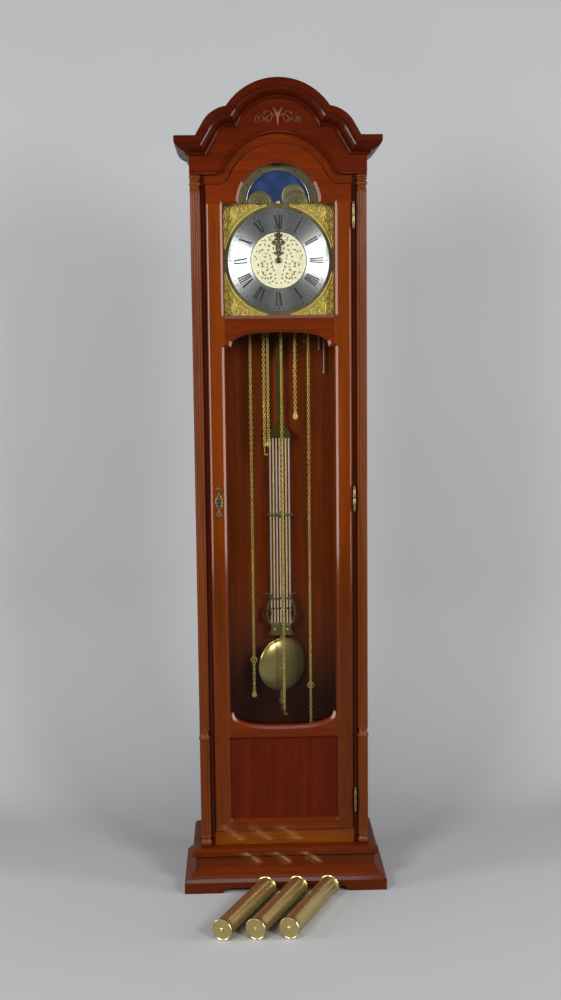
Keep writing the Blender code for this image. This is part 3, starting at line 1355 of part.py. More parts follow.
def pendulum_bob():
    """A domed bob with a sleeve behind it, which turns on the pendulum rod."""
    reach = PENDULUM_ROD_RADIUS + PIVOT_CLEARANCE
    profile = [(0, BOB_BACK + BOB_DOME)]
    for i in range(1, 6):
        a = pi / 2 * i / 6
        profile.append((BOB_RADIUS * sin(a), BOB_BACK + BOB_DOME * (cos(a) ** 1.2)))
    profile += [(BOB_RADIUS, BOB_BACK), (BOB_RADIUS * 0.985, BOB_BACK / 2)]
    profile += [(BOB_RADIUS * 0.93, 0), (0, 0)]
    back_y = PENDULUM_SETBACK - BOB_SLEEVE_RADIUS * 0.55
    shell = turned(profile, 22, turn_to_y(0, back_y, BOB_Z))
    nut_top = NUT_Z + NUT_HEIGHT / 2
    top = BOB_Z + BOB_RADIUS * 0.8
    at = (0, PENDULUM_SETBACK)
    sleeve = rod((*at, nut_top + CLEARANCE), (*at, top), BOB_SLEEVE_RADIUS, 12)
    bore = rod((*at, nut_top - NUT_HEIGHT), (*at, BOB_Z + 2 * BOB_RADIUS), reach, 12)
    mesh = cut(joined(shell, sleeve), bore)
    about = Matrix.Translation((*at, 0))
    mesh.transform(about @ Matrix.Rotation(BOB_TWIST, 4, "Z") @ about.inverted())
    return mesh


def rating_nut():
    """The milled nut under the bob, bored for the pendulum rod."""
    bore = PENDULUM_ROD_RADIUS + PIVOT_CLEARANCE
    low, high = NUT_Z - NUT_HEIGHT / 2, NUT_Z + NUT_HEIGHT / 2
    outer = [(x, y + PENDULUM_SETBACK) for x, y in gear(0, 0, 16, NUT_RADIUS, 0, MILLED_EDGE)]
    return prism([outer, circle(0, PENDULUM_SETBACK, bore, 12)], low, high)


# Weights


def weight(index):
    """A brass shell with a lip at each end, and the nut of its hook in the near end."""
    radius, lip = WEIGHT_RADIUS, WEIGHT_RADIUS + WEIGHT_LIP
    far, stud = WEIGHT_LENGTH, WEIGHT_STUD_RADIUS
    sunk, rim = WEIGHT_SINK, WEIGHT_END_RADIUS
    band, ease = WEIGHT_LIP_HEIGHT, WEIGHT_LIP_HEIGHT + WEIGHT_LIP
    profile = [(0, far + WEIGHT_STUD_LENGTH), (stud, far), (stud, far - sunk), (rim - sunk, far - sunk)]
    profile += [(rim, far), (lip, far - sunk), (lip, far - band), (radius, far - ease)]
    profile += [(radius, ease), (lip, band), (lip, sunk), (rim, 0), (rim - sunk, sunk)]
    profile += [(stud, sunk), (stud, 0), (0, 0)]
    near = Vector((WEIGHT_FIRST_X + index * WEIGHT_PITCH, WEIGHT_NEAR_Y, lip))
    turn = WEIGHT_AXIS.to_track_quat("Z", "Y").to_matrix().to_4x4()
    return turned(profile, 12, Matrix.Translation(near) @ turn)


# Assembly


def build_case(root):
    for name, shape in (
        ("plinth_skirt", plinth_skirt()),
        ("base_board", base_board()),
        ("side_panel_left", side_panel(-1)),
        ("side_panel_right", side_panel(1)),
        ("front_stile_left", front_stile(-1)),
        ("front_stile_right", front_stile(1)),
        ("front_bottom_rail", front_bottom_rail()),
        ("front_top_rail", front_top_rail()),
        ("frieze_board", frieze_board()),
        ("crown_moulding", crown_moulding()),
        ("column_left", column(-1)),
        ("column_right", column(1)),
    ):
        add_piece(name, shape, "cherry", root)
    add_piece("back_panel", back_panel(), "inner_wood", root)
    add_piece("top_board", top_board(), "inner_wood", root)
    add_piece("seat_board", seat_board(), "inner_wood", root)


def build_door(root):
    swing = pivot("door_axis", (HINGE_X, HINGE_Y, DOOR_BOTTOM), root)
    for name, shape in (
        ("door_stile_left", door_stile(-1)),
        ("door_stile_right", door_stile(1)),
        ("door_top_rail", door_top_rail()),
        ("door_middle_rail", door_middle_rail()),
        ("door_lower_rail", door_lower_rail()),
        ("door_bottom_rail", door_bottom_rail()),
        ("door_panel", door_panel()),
    ):
        add_piece(name, shape, "cherry", swing)
    add_piece("door_glass", door_glass(), "glass", swing)
    add_piece("escutcheon", escutcheon(), "antique_brass", swing)
    for name, level in hinge_levels().items():
        add_piece("hinge_" + name + "_case_leaf", hinge_case_leaf(level), "brass", root)
        add_piece("hinge_" + name + "_door_leaf", hinge_door_leaf(level), "brass", swing)


def build_dial(root):
    add_piece("dial_plate", dial_plate(), "brass", root)
    add_piece("chapter_ring", chapter_ring(), "silvered", root)
    add_piece("dial_centre", dial_centre(), "gilt", root)
    for row, up in (("upper", 1), ("lower", -1)):
        for column_name, side in (("left", -1), ("right", 1)):
            add_piece("spandrel_" + row + "_" + column_name, spandrel(side, up), "gilt", root)
    moon = pivot("moon_axis", (0, DIAL_SETBACK, MOON_Z), root)
    add_piece("moon_disc", moon_disc(), "moon_blue", moon)
    hour = pivot("hour_axis", (0, HOUR_BACK, DIAL_Z), root)
    add_piece("hour_hand", hour_hand(), "black_steel", hour)


def build_movement(root):
    add_piece("movement_front_plate", movement_front_plate(), "brass", root)
    add_piece("movement_back_plate", movement_back_plate(), "brass", root)
    centre = pivot("centre_axis", (0, CHAIN_Y, DIAL_Z), root)
    add_piece("minute_hand", minute_hand(), "black_steel", centre)
    add_piece("centre_wheel", centre_wheel(), "brass", centre)
    for name, shape, x, z in (
        ("going_great_wheel", going_great_wheel(), GOING_SPOOL_X, SPOOL_Z),
        ("strike_great_wheel", strike_great_wheel(STRIKE_SPOOL_X), STRIKE_SPOOL_X, SPOOL_Z),
        ("chime_great_wheel", strike_great_wheel(CHIME_SPOOL_X), CHIME_SPOOL_X, SPOOL_Z),
        ("third_wheel", third_wheel(), THIRD_X, THIRD_Z),
        ("escape_wheel", escape_wheel(), 0, ESCAPE_Z),
        ("anchor_crutch", anchor_crutch(), 0, ANCHOR_Z),
    ):
        add_piece(name, shape, "brass", pivot(name + "_axis", (x, CHAIN_Y, z), root))
    add_piece("strike_chain", chain(STRIKE_SPOOL_X, STRIKE_FALLS), "brass", root)
    add_piece("going_chain", chain(GOING_SPOOL_X, GOING_FALLS), "brass", root)
    add_piece("chime_chain", chain(CHIME_SPOOL_X, CHIME_FALLS), "brass", root)
    add_piece("chime_rods", chime_rods(), "steel", root)


def build_pendulum(root):
    swing = pivot("pendulum_axis", (0, PENDULUM_SETBACK, ANCHOR_Z), root)
    add_piece("pendulum_leader", pendulum_leader(), "brass", swing)
    add_piece("pendulum_grid", pendulum_grid(), "brass", swing)
    stem = pivot("pendulum_rod_axis", (0, PENDULUM_SETBACK, BOB_Z), swing)
    add_piece("pendulum_bob", pendulum_bob(), "brass", stem)
    add_piece("rating_nut", rating_nut(), "brass", stem)


def build_weights(root):
    for index, name in enumerate(("left", "middle", "right")):
        near = (WEIGHT_FIRST_X + index * WEIGHT_PITCH, WEIGHT_NEAR_Y, 0)
        place = pivot("weight_" + name + "_place", near, root)
        add_piece("weight_" + name, weight(index), "brass", place)


def main():
    root = pivot("longcase_clock", (0, 0, 0), None)
    build_case(root)
    build_door(root)
    build_dial(root)
    build_movement(root)
    build_pendulum(root)
    build_weights(root)
    root.location = (0, ORIGIN_SHIFT, 0)
    bpy.context.view_layer.update()


clear_scene()
PLACES = {}
PARTS = collection("longcase_clock")
TOOLS = collection("working_shapes")
main()
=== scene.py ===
"""The looks of the longcase clock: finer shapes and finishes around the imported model.

Metres, +Z up, and the clock faces -Y. The depth of a piece is counted back from the front of the case.
Profiles and scrolls are written in millimetres, which mm() and scroll() bring to metres.
"""

from math import asin, atan2, cos, hypot, pi, radians, sin, sqrt

import bmesh
import bpy
from mathutils import Matrix, Vector


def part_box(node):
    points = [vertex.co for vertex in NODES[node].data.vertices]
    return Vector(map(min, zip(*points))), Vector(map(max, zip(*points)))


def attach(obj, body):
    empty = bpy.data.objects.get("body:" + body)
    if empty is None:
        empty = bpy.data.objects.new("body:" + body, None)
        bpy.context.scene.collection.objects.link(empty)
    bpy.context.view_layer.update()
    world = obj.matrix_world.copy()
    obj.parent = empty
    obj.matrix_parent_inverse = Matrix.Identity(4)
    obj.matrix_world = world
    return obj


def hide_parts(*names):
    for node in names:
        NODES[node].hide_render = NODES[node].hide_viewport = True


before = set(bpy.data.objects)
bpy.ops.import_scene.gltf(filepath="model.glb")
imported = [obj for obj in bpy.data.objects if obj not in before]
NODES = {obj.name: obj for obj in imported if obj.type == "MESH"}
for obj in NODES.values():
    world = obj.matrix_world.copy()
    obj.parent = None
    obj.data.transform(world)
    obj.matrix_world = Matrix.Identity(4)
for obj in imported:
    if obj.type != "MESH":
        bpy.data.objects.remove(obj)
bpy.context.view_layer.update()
MM = 0.001

# Case
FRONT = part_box("frieze_board")[0].y
HALF_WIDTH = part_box("frieze_board")[1].x
CASE_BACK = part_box("back_panel")[1].y
FRIEZE_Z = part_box("frieze_board")[0].z
CORNICE_Z = FRIEZE_Z + 0.088
HOOD_ARCH_Z = FRIEZE_Z - 0.054
FRIEZE_ARCH_RADIUS = 0.152
FRIEZE_FILLET = 0.020
CROWN_ARCH_RADIUS = 0.150
CROWN_ARCH_Z = CORNICE_Z - 0.017
CROWN_STEPS = 18
SHOULDER_RADIUS = 0.077
SHOULDER_X = 0.114
SHOULDER_Z = CORNICE_Z - 0.009
SHOULDER_SLOPE = radians(60)
COLUMN_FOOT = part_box("column_left")[0].z
COLUMN_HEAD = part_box("column_left")[1].z - 0.036
COLUMN_RADIUS = 0.013
REED_COUNT = 12
REED_STEPS = 8
REED_DEPTH = 0.0030
REED_ENDS = ((0.0075, 1.0), (0.0035, 0.7), (0.0012, 0.0))
CARVING_Z = 1.924
DOOR_OPENINGS = ((0.177, 0.3855), (0.4565, 1.376), (1.453, 1.721))
BEVEL_WIDTH = 0.007
BEVEL_DEPTH = 0.006
FOOT_BEVEL = ((0.0, 0.05), (-1.75, 1.04), (-1.75, 0.80), (0.0, -0.15))
FOOT_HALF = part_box("door_stile_right")[0].x - BEVEL_WIDTH
FOOT_DIP = 0.038
FOOT_ROUNDNESS = 2.6
FOOT_STEPS = 14
STILE_BEVEL = ((0.0083, 0.0), (0.0030, 0.0045), (0.0026, 0.0090), (0.0, 0.0090))
ARRIS_WIDTH = 0.0052
ARRIS_DEPTH = 0.0040
HINGE_RADIUS = 0.0035
HINGE_LEAF = 0.0008
HINGE_HALF = 0.033
KNUCKLE_Z = 0.0112
KNUCKLE_HALF = 0.0105
KNUCKLE_BORE = 0.0019

# Dial
DIAL_Z = (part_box("chapter_ring")[0].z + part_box("chapter_ring")[1].z) / 2
RING_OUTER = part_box("chapter_ring")[1].x
RING_INNER = 0.0700
RING_EASE = 0.0003
RING_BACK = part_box("chapter_ring")[1].y - FRONT
RING_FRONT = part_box("chapter_ring")[0].y - FRONT
DIAL_FRONT = RING_BACK + 0.0003
CENTRE_RADIUS = 0.0685
PIERCING_SPREAD, PIERCING_LENGTH, PIERCING_WIDTH = 0.00094, 0.00100, 0.00128
INK_RISE = 0.00025
NUMERAL_FOOT = 0.0775
NUMERAL_HEIGHT = 0.0320
NUMERAL_SQUEEZE = 0.38
SERIF_HALF = 0.016
TRACK_RADIUS = 0.1175
MOON_Z = DIAL_Z + 0.140
SKY_RADIUS = 0.076
DAY_MARK_RADIUS = 0.087
HUMP_X = 0.0445
HUMP_RADIUS = 0.029
SIGHT_ARCH_RADIUS = 0.0985
MOON_RADIUS = 0.0285
MOON_PLACE = (0.0379, 0.0158)
MOON_DISC_FRONT = DIAL_FRONT + 0.0035
SPANDREL_HALF = 0.1365
SPANDREL_RADIUS = 0.1325
SPANDREL_TIP = 0.0275
SPANDREL_KNOB = SPANDREL_HALF - 0.020

# Pendulum, chains and chime rods
PENDULUM_Y = 0.150
GRID_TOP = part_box("pendulum_leader")[0].z
GRID_PITCH = 0.0081
GRID_RADIUS = 0.00225
BRACE_Z = GRID_TOP - 0.200
LYRE_BOTTOM = GRID_TOP - 0.520
LYRE_HALF = 0.042
LYRE_HEIGHT = 0.117
BOB_Z = LYRE_BOTTOM - 0.076
BOB_RADIUS = 0.0700
BOB_TURN = radians(25)
NUT_Z = BOB_Z - 0.102
NUT_STEPS = 64
NUT_RINGS = ((0.0060, 0.0050, 0), (0.0052, 0.0063, 1), (-0.0052, 0.0063, 1), (-0.0060, 0.0050, 0))
MILLING = 0.00025
CHAIN_Y = 0.100
SPOOL_Z = DIAL_Z - 0.0424
SPOOL_RADIUS = 0.0170
LINK_PITCH = 0.0066
LINK_HALF = 0.0013
LINK_BEND = 0.0030
LINK_BEND_STEPS = 5
LINK_WIRE = 0.0010
TAG_HALF = 0.0008
CHIME_BLOCK_HEIGHT = 0.022
CHIME_PITCH = 0.0125
CHIME_LENGTHS = (0.200, 0.212, 0.316, 0.224, 0.236, 0.335, 0.396, 0.206)

# Weights
SHELL_RADIUS = 0.0232
FLANGE_RADIUS = 0.0255
WEIGHT_LENGTH = 0.272
WEIGHT_TURN = radians(24.7)
WEIGHT_FIRST_X = -0.161
WEIGHT_PITCH = 0.079
WEIGHT_NEAR_Y = -0.305

# Stage, lights as place, aim, width, height and watts, and camera
FLOOR_HALF = 9.0
FLOOR_NEAR = -6.0
BACKDROP_Y = 0.55
BACKDROP_TOP = 5.0
SWEEP_RADIUS = 0.6
SWEEP_STEPS = 12
STRIP_LIGHT = ((2.9, -0.68, 1.3), (0, 0, 1.2), 0.7, 2.0, 52)
LAMP_LIGHT = ((2.0, -2.9, 2.2), (0, 0, 1.1), 0.9, 1.0, 75)
OVERHEAD_LIGHT = ((0, -0.75, 4.4), (0, -0.3, 0), 1.2, 1.0, 14)
AIR_COLOUR = (0.80, 0.82, 0.86, 1)
AIR_STRENGTH = 0.06
CAMERA_PLACE = (-0.10, FRONT - 3.2, 1.392)
CAMERA_TURNS = ((-1.74, "Z"), (90 - 7.0, "X"), (-0.6, "Z"))
CAMERA_SENSOR = 36.0
CAMERA_LENS = 46.8


# Finishes


class Wire:
    """An output of a node. Arithmetic on it adds Math nodes."""

    def __init__(self, finish, socket):
        self.finish = finish
        self.socket = socket

    def maths(self, operation, *values):
        return self.finish.node("ShaderNodeMath", {"operation": operation}, dict(enumerate(values)))

    def __add__(self, other):
        return self.maths("ADD", self, other)

    def __radd__(self, other):
        return self.maths("ADD", other, self)

    def __sub__(self, other):
        return self.maths("SUBTRACT", self, other)

    def __rsub__(self, other):
        return self.maths("SUBTRACT", other, self)

    def __mul__(self, other):
        return self.maths("MULTIPLY", self, other)

    def __rmul__(self, other):
        return self.maths("MULTIPLY", other, self)


class Finish:
    """A material of the clock, with a method that adds its nodes."""

    def __init__(self, name, constants):
        self.material = bpy.data.materials.new(name)
        self.material.use_nodes = True
        self.tree = self.material.node_tree
        self.shader = self.tree.nodes["Principled BSDF"]
        self.set(constants)

    def feed(self, socket, value):
        if isinstance(value, Wire):
            self.tree.links.new(value.socket, socket)
        elif socket.type == "RGBA":
            socket.default_value = (*value, 1)
        else:
            socket.default_value = value

    def set(self, inputs):
        for name, value in inputs.items():
            self.feed(self.shader.inputs[name], value)

    def node(self, kind, settings, sockets, output=0):
        made = self.tree.nodes.new(kind)
        for name, value in settings.items():
            setattr(made, name, value)
        for name, value in sockets.items():
            self.feed(made.inputs[name], value)
        return Wire(self, made.outputs[output])

    def spot(self):
        return self.node("ShaderNodeTexCoord", {}, {}, "Object")

    def vector(self, operation, *values):
        return self.node("ShaderNodeVectorMath", {"operation": operation}, dict(enumerate(values)))

    def noise(self, where, scale, detail=3.0, roughness=0.55, distortion=0.0):
        sockets = {"Vector": where, "Scale": scale, "Detail": detail}
        sockets.update({"Roughness": roughness, "Distortion": distortion})
        return self.node("ShaderNodeTexNoise", {}, sockets)

    def level(self, value, low, high):
        """The value's place between two levels, eased and held at both ends."""
        sockets = {"Value": value, "From Min": low, "From Max": high}
        return self.node("ShaderNodeMapRange", {"interpolation_type": "SMOOTHSTEP"}, sockets)

    def tint(self, share, first, second):
        settings = {"data_type": "RGBA", "blend_type": "MIX"}
        return self.node("ShaderNodeMix", settings, {0: share, 6: first, 7: second}, 2)

    def bumps(self, height, depth):
        return self.node("ShaderNodeBump", {}, {"Height": height, "Distance": depth, "Strength": 1.0})

    def blend(self, share, first, second):
        """Show a mix of two shaders."""
        mixed = self.node("ShaderNodeMixShader", {}, {0: share, 1: first, 2: second})
        self.feed(self.tree.nodes["Material Output"].inputs["Surface"], mixed)


def shade(colour, share):
    return tuple(part * share for part in colour)


GRAIN = {"up": (1.0, 1.0, 0.05), "across": (0.05, 1.0, 1.0)}


def polished_wood(name, tone, along, rough=0.34, coat=0.30, foot=None):
    """Varnished cherry: a broad figure, growth lines and dark pores, all drawn out along the board."""
    wood = Finish(name, {"Coat Weight": coat, "Coat Roughness": 0.11, "Specular IOR Level": 0.06})
    lie = wood.vector("MULTIPLY", wood.spot(), GRAIN[along])
    figure = wood.noise(lie, 26, 3, 0.55, 0.9)
    lines = wood.noise(lie, 170, 4, 0.62, 0.4)
    pores = wood.noise(lie, 900, 2, 0.6)
    colour = wood.tint(wood.level(figure, 0.34, 0.66), shade(tone, 0.84), shade(tone, 1.14))
    colour = wood.tint(wood.level(lines, 0.46, 0.66) * 0.34, colour, shade(tone, 0.42))
    colour = wood.tint(wood.level(pores, 0.60, 0.70) * 0.45, colour, shade(tone, 0.25))
    # A foot of low height, high height and share paints shade: below the high height the colour darkens,
    # down to that share of itself at the low height and under it.
    if foot:
        low, high, dark = foot
        height = wood.node("ShaderNodeSeparateXYZ", {}, {"Vector": wood.spot()}, "Z")
        colour = wood.tint(wood.level(height, low, high) * (1 - dark) + dark, (0.0, 0.0, 0.0), colour)
    grain = lines * 0.6 + pores * 0.4
    wood.set({"Base Color": colour, "Roughness": rough - 0.05 + lines * 0.12})
    wood.set({"Normal": wood.bumps(grain, 0.00006)})
    return wood


def worked_brass(name, colour, rough, stain, metallic=0.9, wear=0.14):
    """Brass with cloudy tarnish and fine scratches, which a smaller wear polishes out."""
    metal = Finish(name, {"Metallic": metallic})
    spot = metal.spot()
    cloud = metal.noise(spot, 38, 5, 0.6, 0.3)
    specks = metal.noise(spot, 700, 3, 0.7)
    tarnish = metal.level(cloud, 0.38, 0.68)
    metal.set({"Base Color": metal.tint(tarnish, shade(colour, stain), colour)})
    metal.set({"Roughness": rough + wear - tarnish * wear + specks * wear * 0.4})
    metal.set({"Normal": metal.bumps(specks, wear * 0.0003)})
    return metal


def chased_gilt(name, colour, rough, grit, metallic=0.5, hollow=0.45):
    """Gilt casting: a granular ground, warm in the hollows and bright where it is rubbed."""
    metal = Finish(name, {"Metallic": metallic})
    spot = metal.spot()
    grains = metal.noise(spot, grit, 3, 0.65)
    cloud = metal.noise(spot, 90, 3, 0.6)
    worn = metal.level(grains, 0.36, 0.62)
    rubbed = metal.tint(worn, shade(colour, hollow), colour)
    metal.set({"Base Color": metal.tint(metal.level(cloud, 0.4, 0.7) * 0.3, rubbed, shade(colour, 0.6))})
    metal.set({"Roughness": rough + 0.1 - worn * 0.1, "Normal": metal.bumps(grains, 0.00025)})
    return metal


def circle_brushed(name, colour, rough):
    """A silvered plate brushed in circles round its own axis."""
    metal = Finish(name, {"Metallic": 1.0, "Anisotropic": 1.0, "Anisotropic Rotation": 0.25})
    spot = metal.spot()
    cloud = metal.noise(spot, 45, 4, 0.6)
    specks = metal.noise(spot, 900, 3, 0.7)
    worn = metal.tint(metal.level(cloud, 0.4, 0.7) * 0.4, colour, shade(colour, 0.72))
    metal.set({"Base Color": metal.tint(metal.level(specks, 0.6, 0.75) * 0.3, worn, shade(colour, 0.5))})
    metal.set({"Roughness": rough + cloud * 0.08})
    return metal


def night_sky():
    """Dark blue paint with faint clouds."""
    paint = Finish("night_sky", {"Specular IOR Level": 0.3, "Coat Weight": 0.2})
    spot = paint.spot()
    cloud = paint.noise(spot, 34, 4, 0.6, 0.4)
    strokes = paint.noise(paint.vector("MULTIPLY", spot, (1.0, 1.0, 0.12)), 500, 3, 0.6)
    mottle = paint.level(cloud * 0.7 + strokes * 0.3, 0.38, 0.64)
    paint.set({"Base Color": paint.tint(mottle, (0.009, 0.028, 0.105), (0.022, 0.056, 0.195))})
    paint.set({"Roughness": 0.36 + cloud * 0.15, "Normal": paint.bumps(strokes, 0.0001)})
    return paint


def painted(name, colour, rough, metallic=0.0):
    """Dark paint or lacquer with faint unevenness."""
    paint = Finish(name, {"Metallic": metallic})
    cloud = paint.noise(paint.spot(), 120, 4, 0.6)
    uneven = paint.tint(paint.level(cloud, 0.35, 0.7), shade(colour, 0.7), shade(colour, 1.3))
    paint.set({"Base Color": uneven, "Roughness": rough - 0.06 + cloud * 0.12})
    paint.set({"Normal": paint.bumps(cloud, 0.0001)})
    return paint


def clear_glass():
    """Window glass: see-through, with a mirror film that grows towards grazing angles."""
    glass = Finish("clear_glass", {})
    fresnel = glass.node("ShaderNodeFresnel", {}, {"IOR": 1.45})
    haze = glass.noise(glass.spot(), 14, 3)
    film = glass.node("ShaderNodeBsdfGlossy", {}, {"Color": (0.9, 0.92, 0.94), "Roughness": 0.02})
    through = glass.node("ShaderNodeBsdfTransparent", {}, {"Color": (0.96, 0.97, 0.965)})
    glass.blend(fresnel * 0.22 + haze * 0.003, through, film)
    glass.tree.nodes.remove(glass.shader)
    return glass


STILE_TONE = (0.178, 0.031, 0.0012)
RAIL_TONE = (0.132, 0.018, 0.0005)
TOP_RAIL_TONE = (0.136, 0.017, 0.0005)
FOOT_RAIL_TONE = (0.184, 0.040, 0.0030)
PANEL_TONE = (0.092, 0.009, 0.0003)
CROWN_TONE = (0.060, 0.006, 0.0003)
FRIEZE_TONE = (0.092, 0.009, 0.0003)
PLINTH_TONE = (0.094, 0.014, 0.0008)
COLUMN_TONE = (0.160, 0.036, 0.0070)
INNER_TONE = (0.250, 0.044, 0.0050)
CARVING_TONE = (0.190, 0.058, 0.0260)
BRASS_TONE = (0.80, 0.57, 0.20)
DARK_BRASS_TONE = (0.30, 0.23, 0.105)
GOLD_TONE = (1.00, 0.73, 0.145)
PALE_GOLD_TONE = (1.00, 0.94, 0.64)
STEEL_TONE = (0.66, 0.63, 0.60)
SILVER_TONE = (0.96, 0.97, 0.97)

# The door uprights carry painted shade on the lower door: their colour falls from full above 1.02 m to 0.62
# of itself at 0.72 m and below.
stile_wood = polished_wood("cherry_upright", STILE_TONE, "up", 0.34, 0.42, (0.72, 1.02, 0.62))
rail_wood = polished_wood("cherry_rail", RAIL_TONE, "across", 0.34, 0.35)
foot_rail_wood = polished_wood("cherry_foot_rail", FOOT_RAIL_TONE, "across")
top_rail_wood = polished_wood("cherry_door_head", TOP_RAIL_TONE, "across")
panel_wood = polished_wood("cherry_panel", PANEL_TONE, "up", 0.30, 0.25)
crown_wood = polished_wood("cherry_crown", CROWN_TONE, "across", 0.30, 0.34)
side_wood = polished_wood("cherry_side", PANEL_TONE, "up")
# The front stiles beside the door take the panel tone at 0.55: painted shade for the recess they stand in.
recess_shade_wood = polished_wood("cherry_front_stile_painted_shade", shade(PANEL_TONE, 0.55), "up")
frieze_wood = polished_wood("cherry_frieze", FRIEZE_TONE, "across", 0.34, 0.20)
bevel_wood = polished_wood("cherry_window_bevel", RAIL_TONE, "across", 0.30, 1.0)
bevel_wood.set({"Coat Roughness": 0.30})
plinth_wood = polished_wood("cherry_plinth", PLINTH_TONE, "across", 0.30, 0.40)
column_wood = polished_wood("cherry_column", COLUMN_TONE, "up", 0.36, 0.15)
carved_wood = polished_wood("cherry_carving", CARVING_TONE, "across", 0.26, 0.8)
# The centre leaves take the carving tone doubled: a painted highlight.
carved_leaf_highlight_wood = polished_wood("cherry_carved_leaf_painted_highlight", shade(CARVING_TONE, 2.0), "across", 0.26, 0.8)
# The inner boards carry painted shade towards the bottom: their colour falls from full above 0.74 m to 0.16
# of itself at 0.40 m and below.
inner_wood = polished_wood("inner_board_painted_foot_shade", INNER_TONE, "up", 0.5, 0.1, (0.40, 0.74, 0.16))
bright_brass = worked_brass("bright_brass", BRASS_TONE, 0.20, 0.72)
# The dial plate is dull brass. Its colour is also darkened as painted shade where it shows round the chapter
# ring.
dull_shaded_dial_brass = worked_brass("dull_dial_brass_painted_shade", (0.150, 0.120, 0.048), 0.42, 0.7, 0.4)
dark_brass = worked_brass("dark_brass", DARK_BRASS_TONE, 0.30, 0.5)
plate_brass = worked_brass("antique_plate_brass", (0.260, 0.205, 0.090), 0.24, 0.45)
lyre_brass = worked_brass("lyre_brass", (0.250, 0.205, 0.060), 0.26, 0.6, 0.8)
leader_brass = worked_brass("leader_brass", (0.105, 0.090, 0.016), 0.30, 0.6, 0.7)
shell_brass = worked_brass("weight_shell_brass", (0.96, 0.77, 0.33), 0.23, 0.90, 0.93, 0.03)
bob_brass = worked_brass("bob_brass", (0.46, 0.375, 0.130), 0.24, 0.97, 0.75, 0.015)
chain_brass = worked_brass("chain_brass", (1.00, 0.76, 0.20), 0.22, 0.70, 0.60)
moon_ring_brass = worked_brass("moon_ring_brass", (0.270, 0.235, 0.110), 0.34, 0.7, 0.5)
bright_steel = worked_brass("bright_steel", STEEL_TONE, 0.22, 0.75)
rod_steel = worked_brass("grid_rod_steel", (0.80, 0.68, 0.62), 0.24, 0.80, 0.4)
rod_brass = worked_brass("grid_rod_brass", (0.90, 0.74, 0.40), 0.22, 0.80, 0.4)
gilt_scrolls = chased_gilt("gilt_scrolls", GOLD_TONE, 0.40, 420, 0.35)
# The ground is a copy of the scroll gold at 0.55: painted shade between the raised scrolls.
gilt_ground_painted_shade = chased_gilt("gilt_ground_painted_shade", shade(GOLD_TONE, 0.55), 0.46, 460, 0.35, 0.25)
pale_gilt = chased_gilt("pale_gilt", PALE_GOLD_TONE, 0.46, 300, 0.25, 0.78)
pierced_ground = chased_gilt("pierced_ground", (0.240, 0.170, 0.040), 0.45, 1200, 0.3)
hump_brass = chased_gilt("engraved_brass", (0.150, 0.118, 0.045), 0.40, 420)
moon_gold = chased_gilt("moon_gold", (0.250, 0.210, 0.090), 0.36, 260)
silvered = circle_brushed("silvered_ring", SILVER_TONE, 0.46)
sky_paint = night_sky()
ink = painted("numeral_ink", (0.012, 0.011, 0.010), 0.45)
hand_bronze = painted("hand_bronze", (0.085, 0.052, 0.020), 0.30, 0.5)
glass = clear_glass()


# Shapes


RELIEF = ((-1.0, 0.0), (-0.74, 0.66), (0.0, 1.0), (0.74, 0.66), (1.0, 0.0))
ROUND = tuple((cos(pi / 4 * k), sin(pi / 4 * k)) for k in range(8))
SQUARE = ((-1, -1), (1, -1), (1, 1), (-1, 1))


def mm(*points):
    """Points in millimetres, as points in metres."""
    return [tuple(part * MM for part in point) for point in points]


def arc(x, z, radius, start, end, steps):
    angles = [start + (end - start) * i / steps for i in range(steps + 1)]
    return [(x + radius * cos(a), z + radius * sin(a)) for a in angles]


def ring_line(x, z, radius, steps):
    return arc(x, z, radius, 0, 2 * pi * (1 - 1 / steps), steps - 1)


def smooth(points, steps):
    """A curve through the points, with a number of steps from each to the next."""
    line = []
    last = len(points) - 1
    for i in range(last):
        a, b, c, d = (Vector(points[min(max(k, 0), last)]) for k in (i - 1, i, i + 1, i + 2))
        for step in range(steps):
            t = step / steps
            bend = (2 * a - 5 * b + 4 * c - d) * t + (3 * b - a - 3 * c + d) * t * t
            line.append(tuple(b + 0.5 * t * (c - a + bend)))
    return line + [tuple(points[last])]


def curl(x, z, radius, start, turn, steps, inner=0.25):
    """A line that winds round a point, from a radius at the start angle to a share of it."""
    line = []
    for i in range(steps + 1):
        share = i / steps
        reach = radius * (1 - share * (1 - inner))
        angle = radians(start + turn * share)
        line.append((x + reach * cos(angle), z + reach * sin(angle)))
    return line


def scroll(points, steps, eye=None, z=0.0):
    """A curve through points in millimetres, which may end in a curl, raised to a height in metres."""
    line = smooth(points, steps) if points else []
    if eye:
        line = line + curl(*eye)
    return [(a * MM, z + b * MM) for a, b in line]


def flipped(line):
    return [(-x, z) for x, z in line]


def mirrored(right, x, z):
    """A closed outline from its right half, set about a point."""
    return [(x + a, z + b) for a, b in right] + [(x - a, z + b) for a, b in reversed(right) if a]


def facing(x, depth, z):
    """Places a turned form with its axis along the depth and its top towards the front."""
    return Matrix.Translation((x, FRONT + depth, z)) @ Matrix.Rotation(pi / 2, 4, "X")


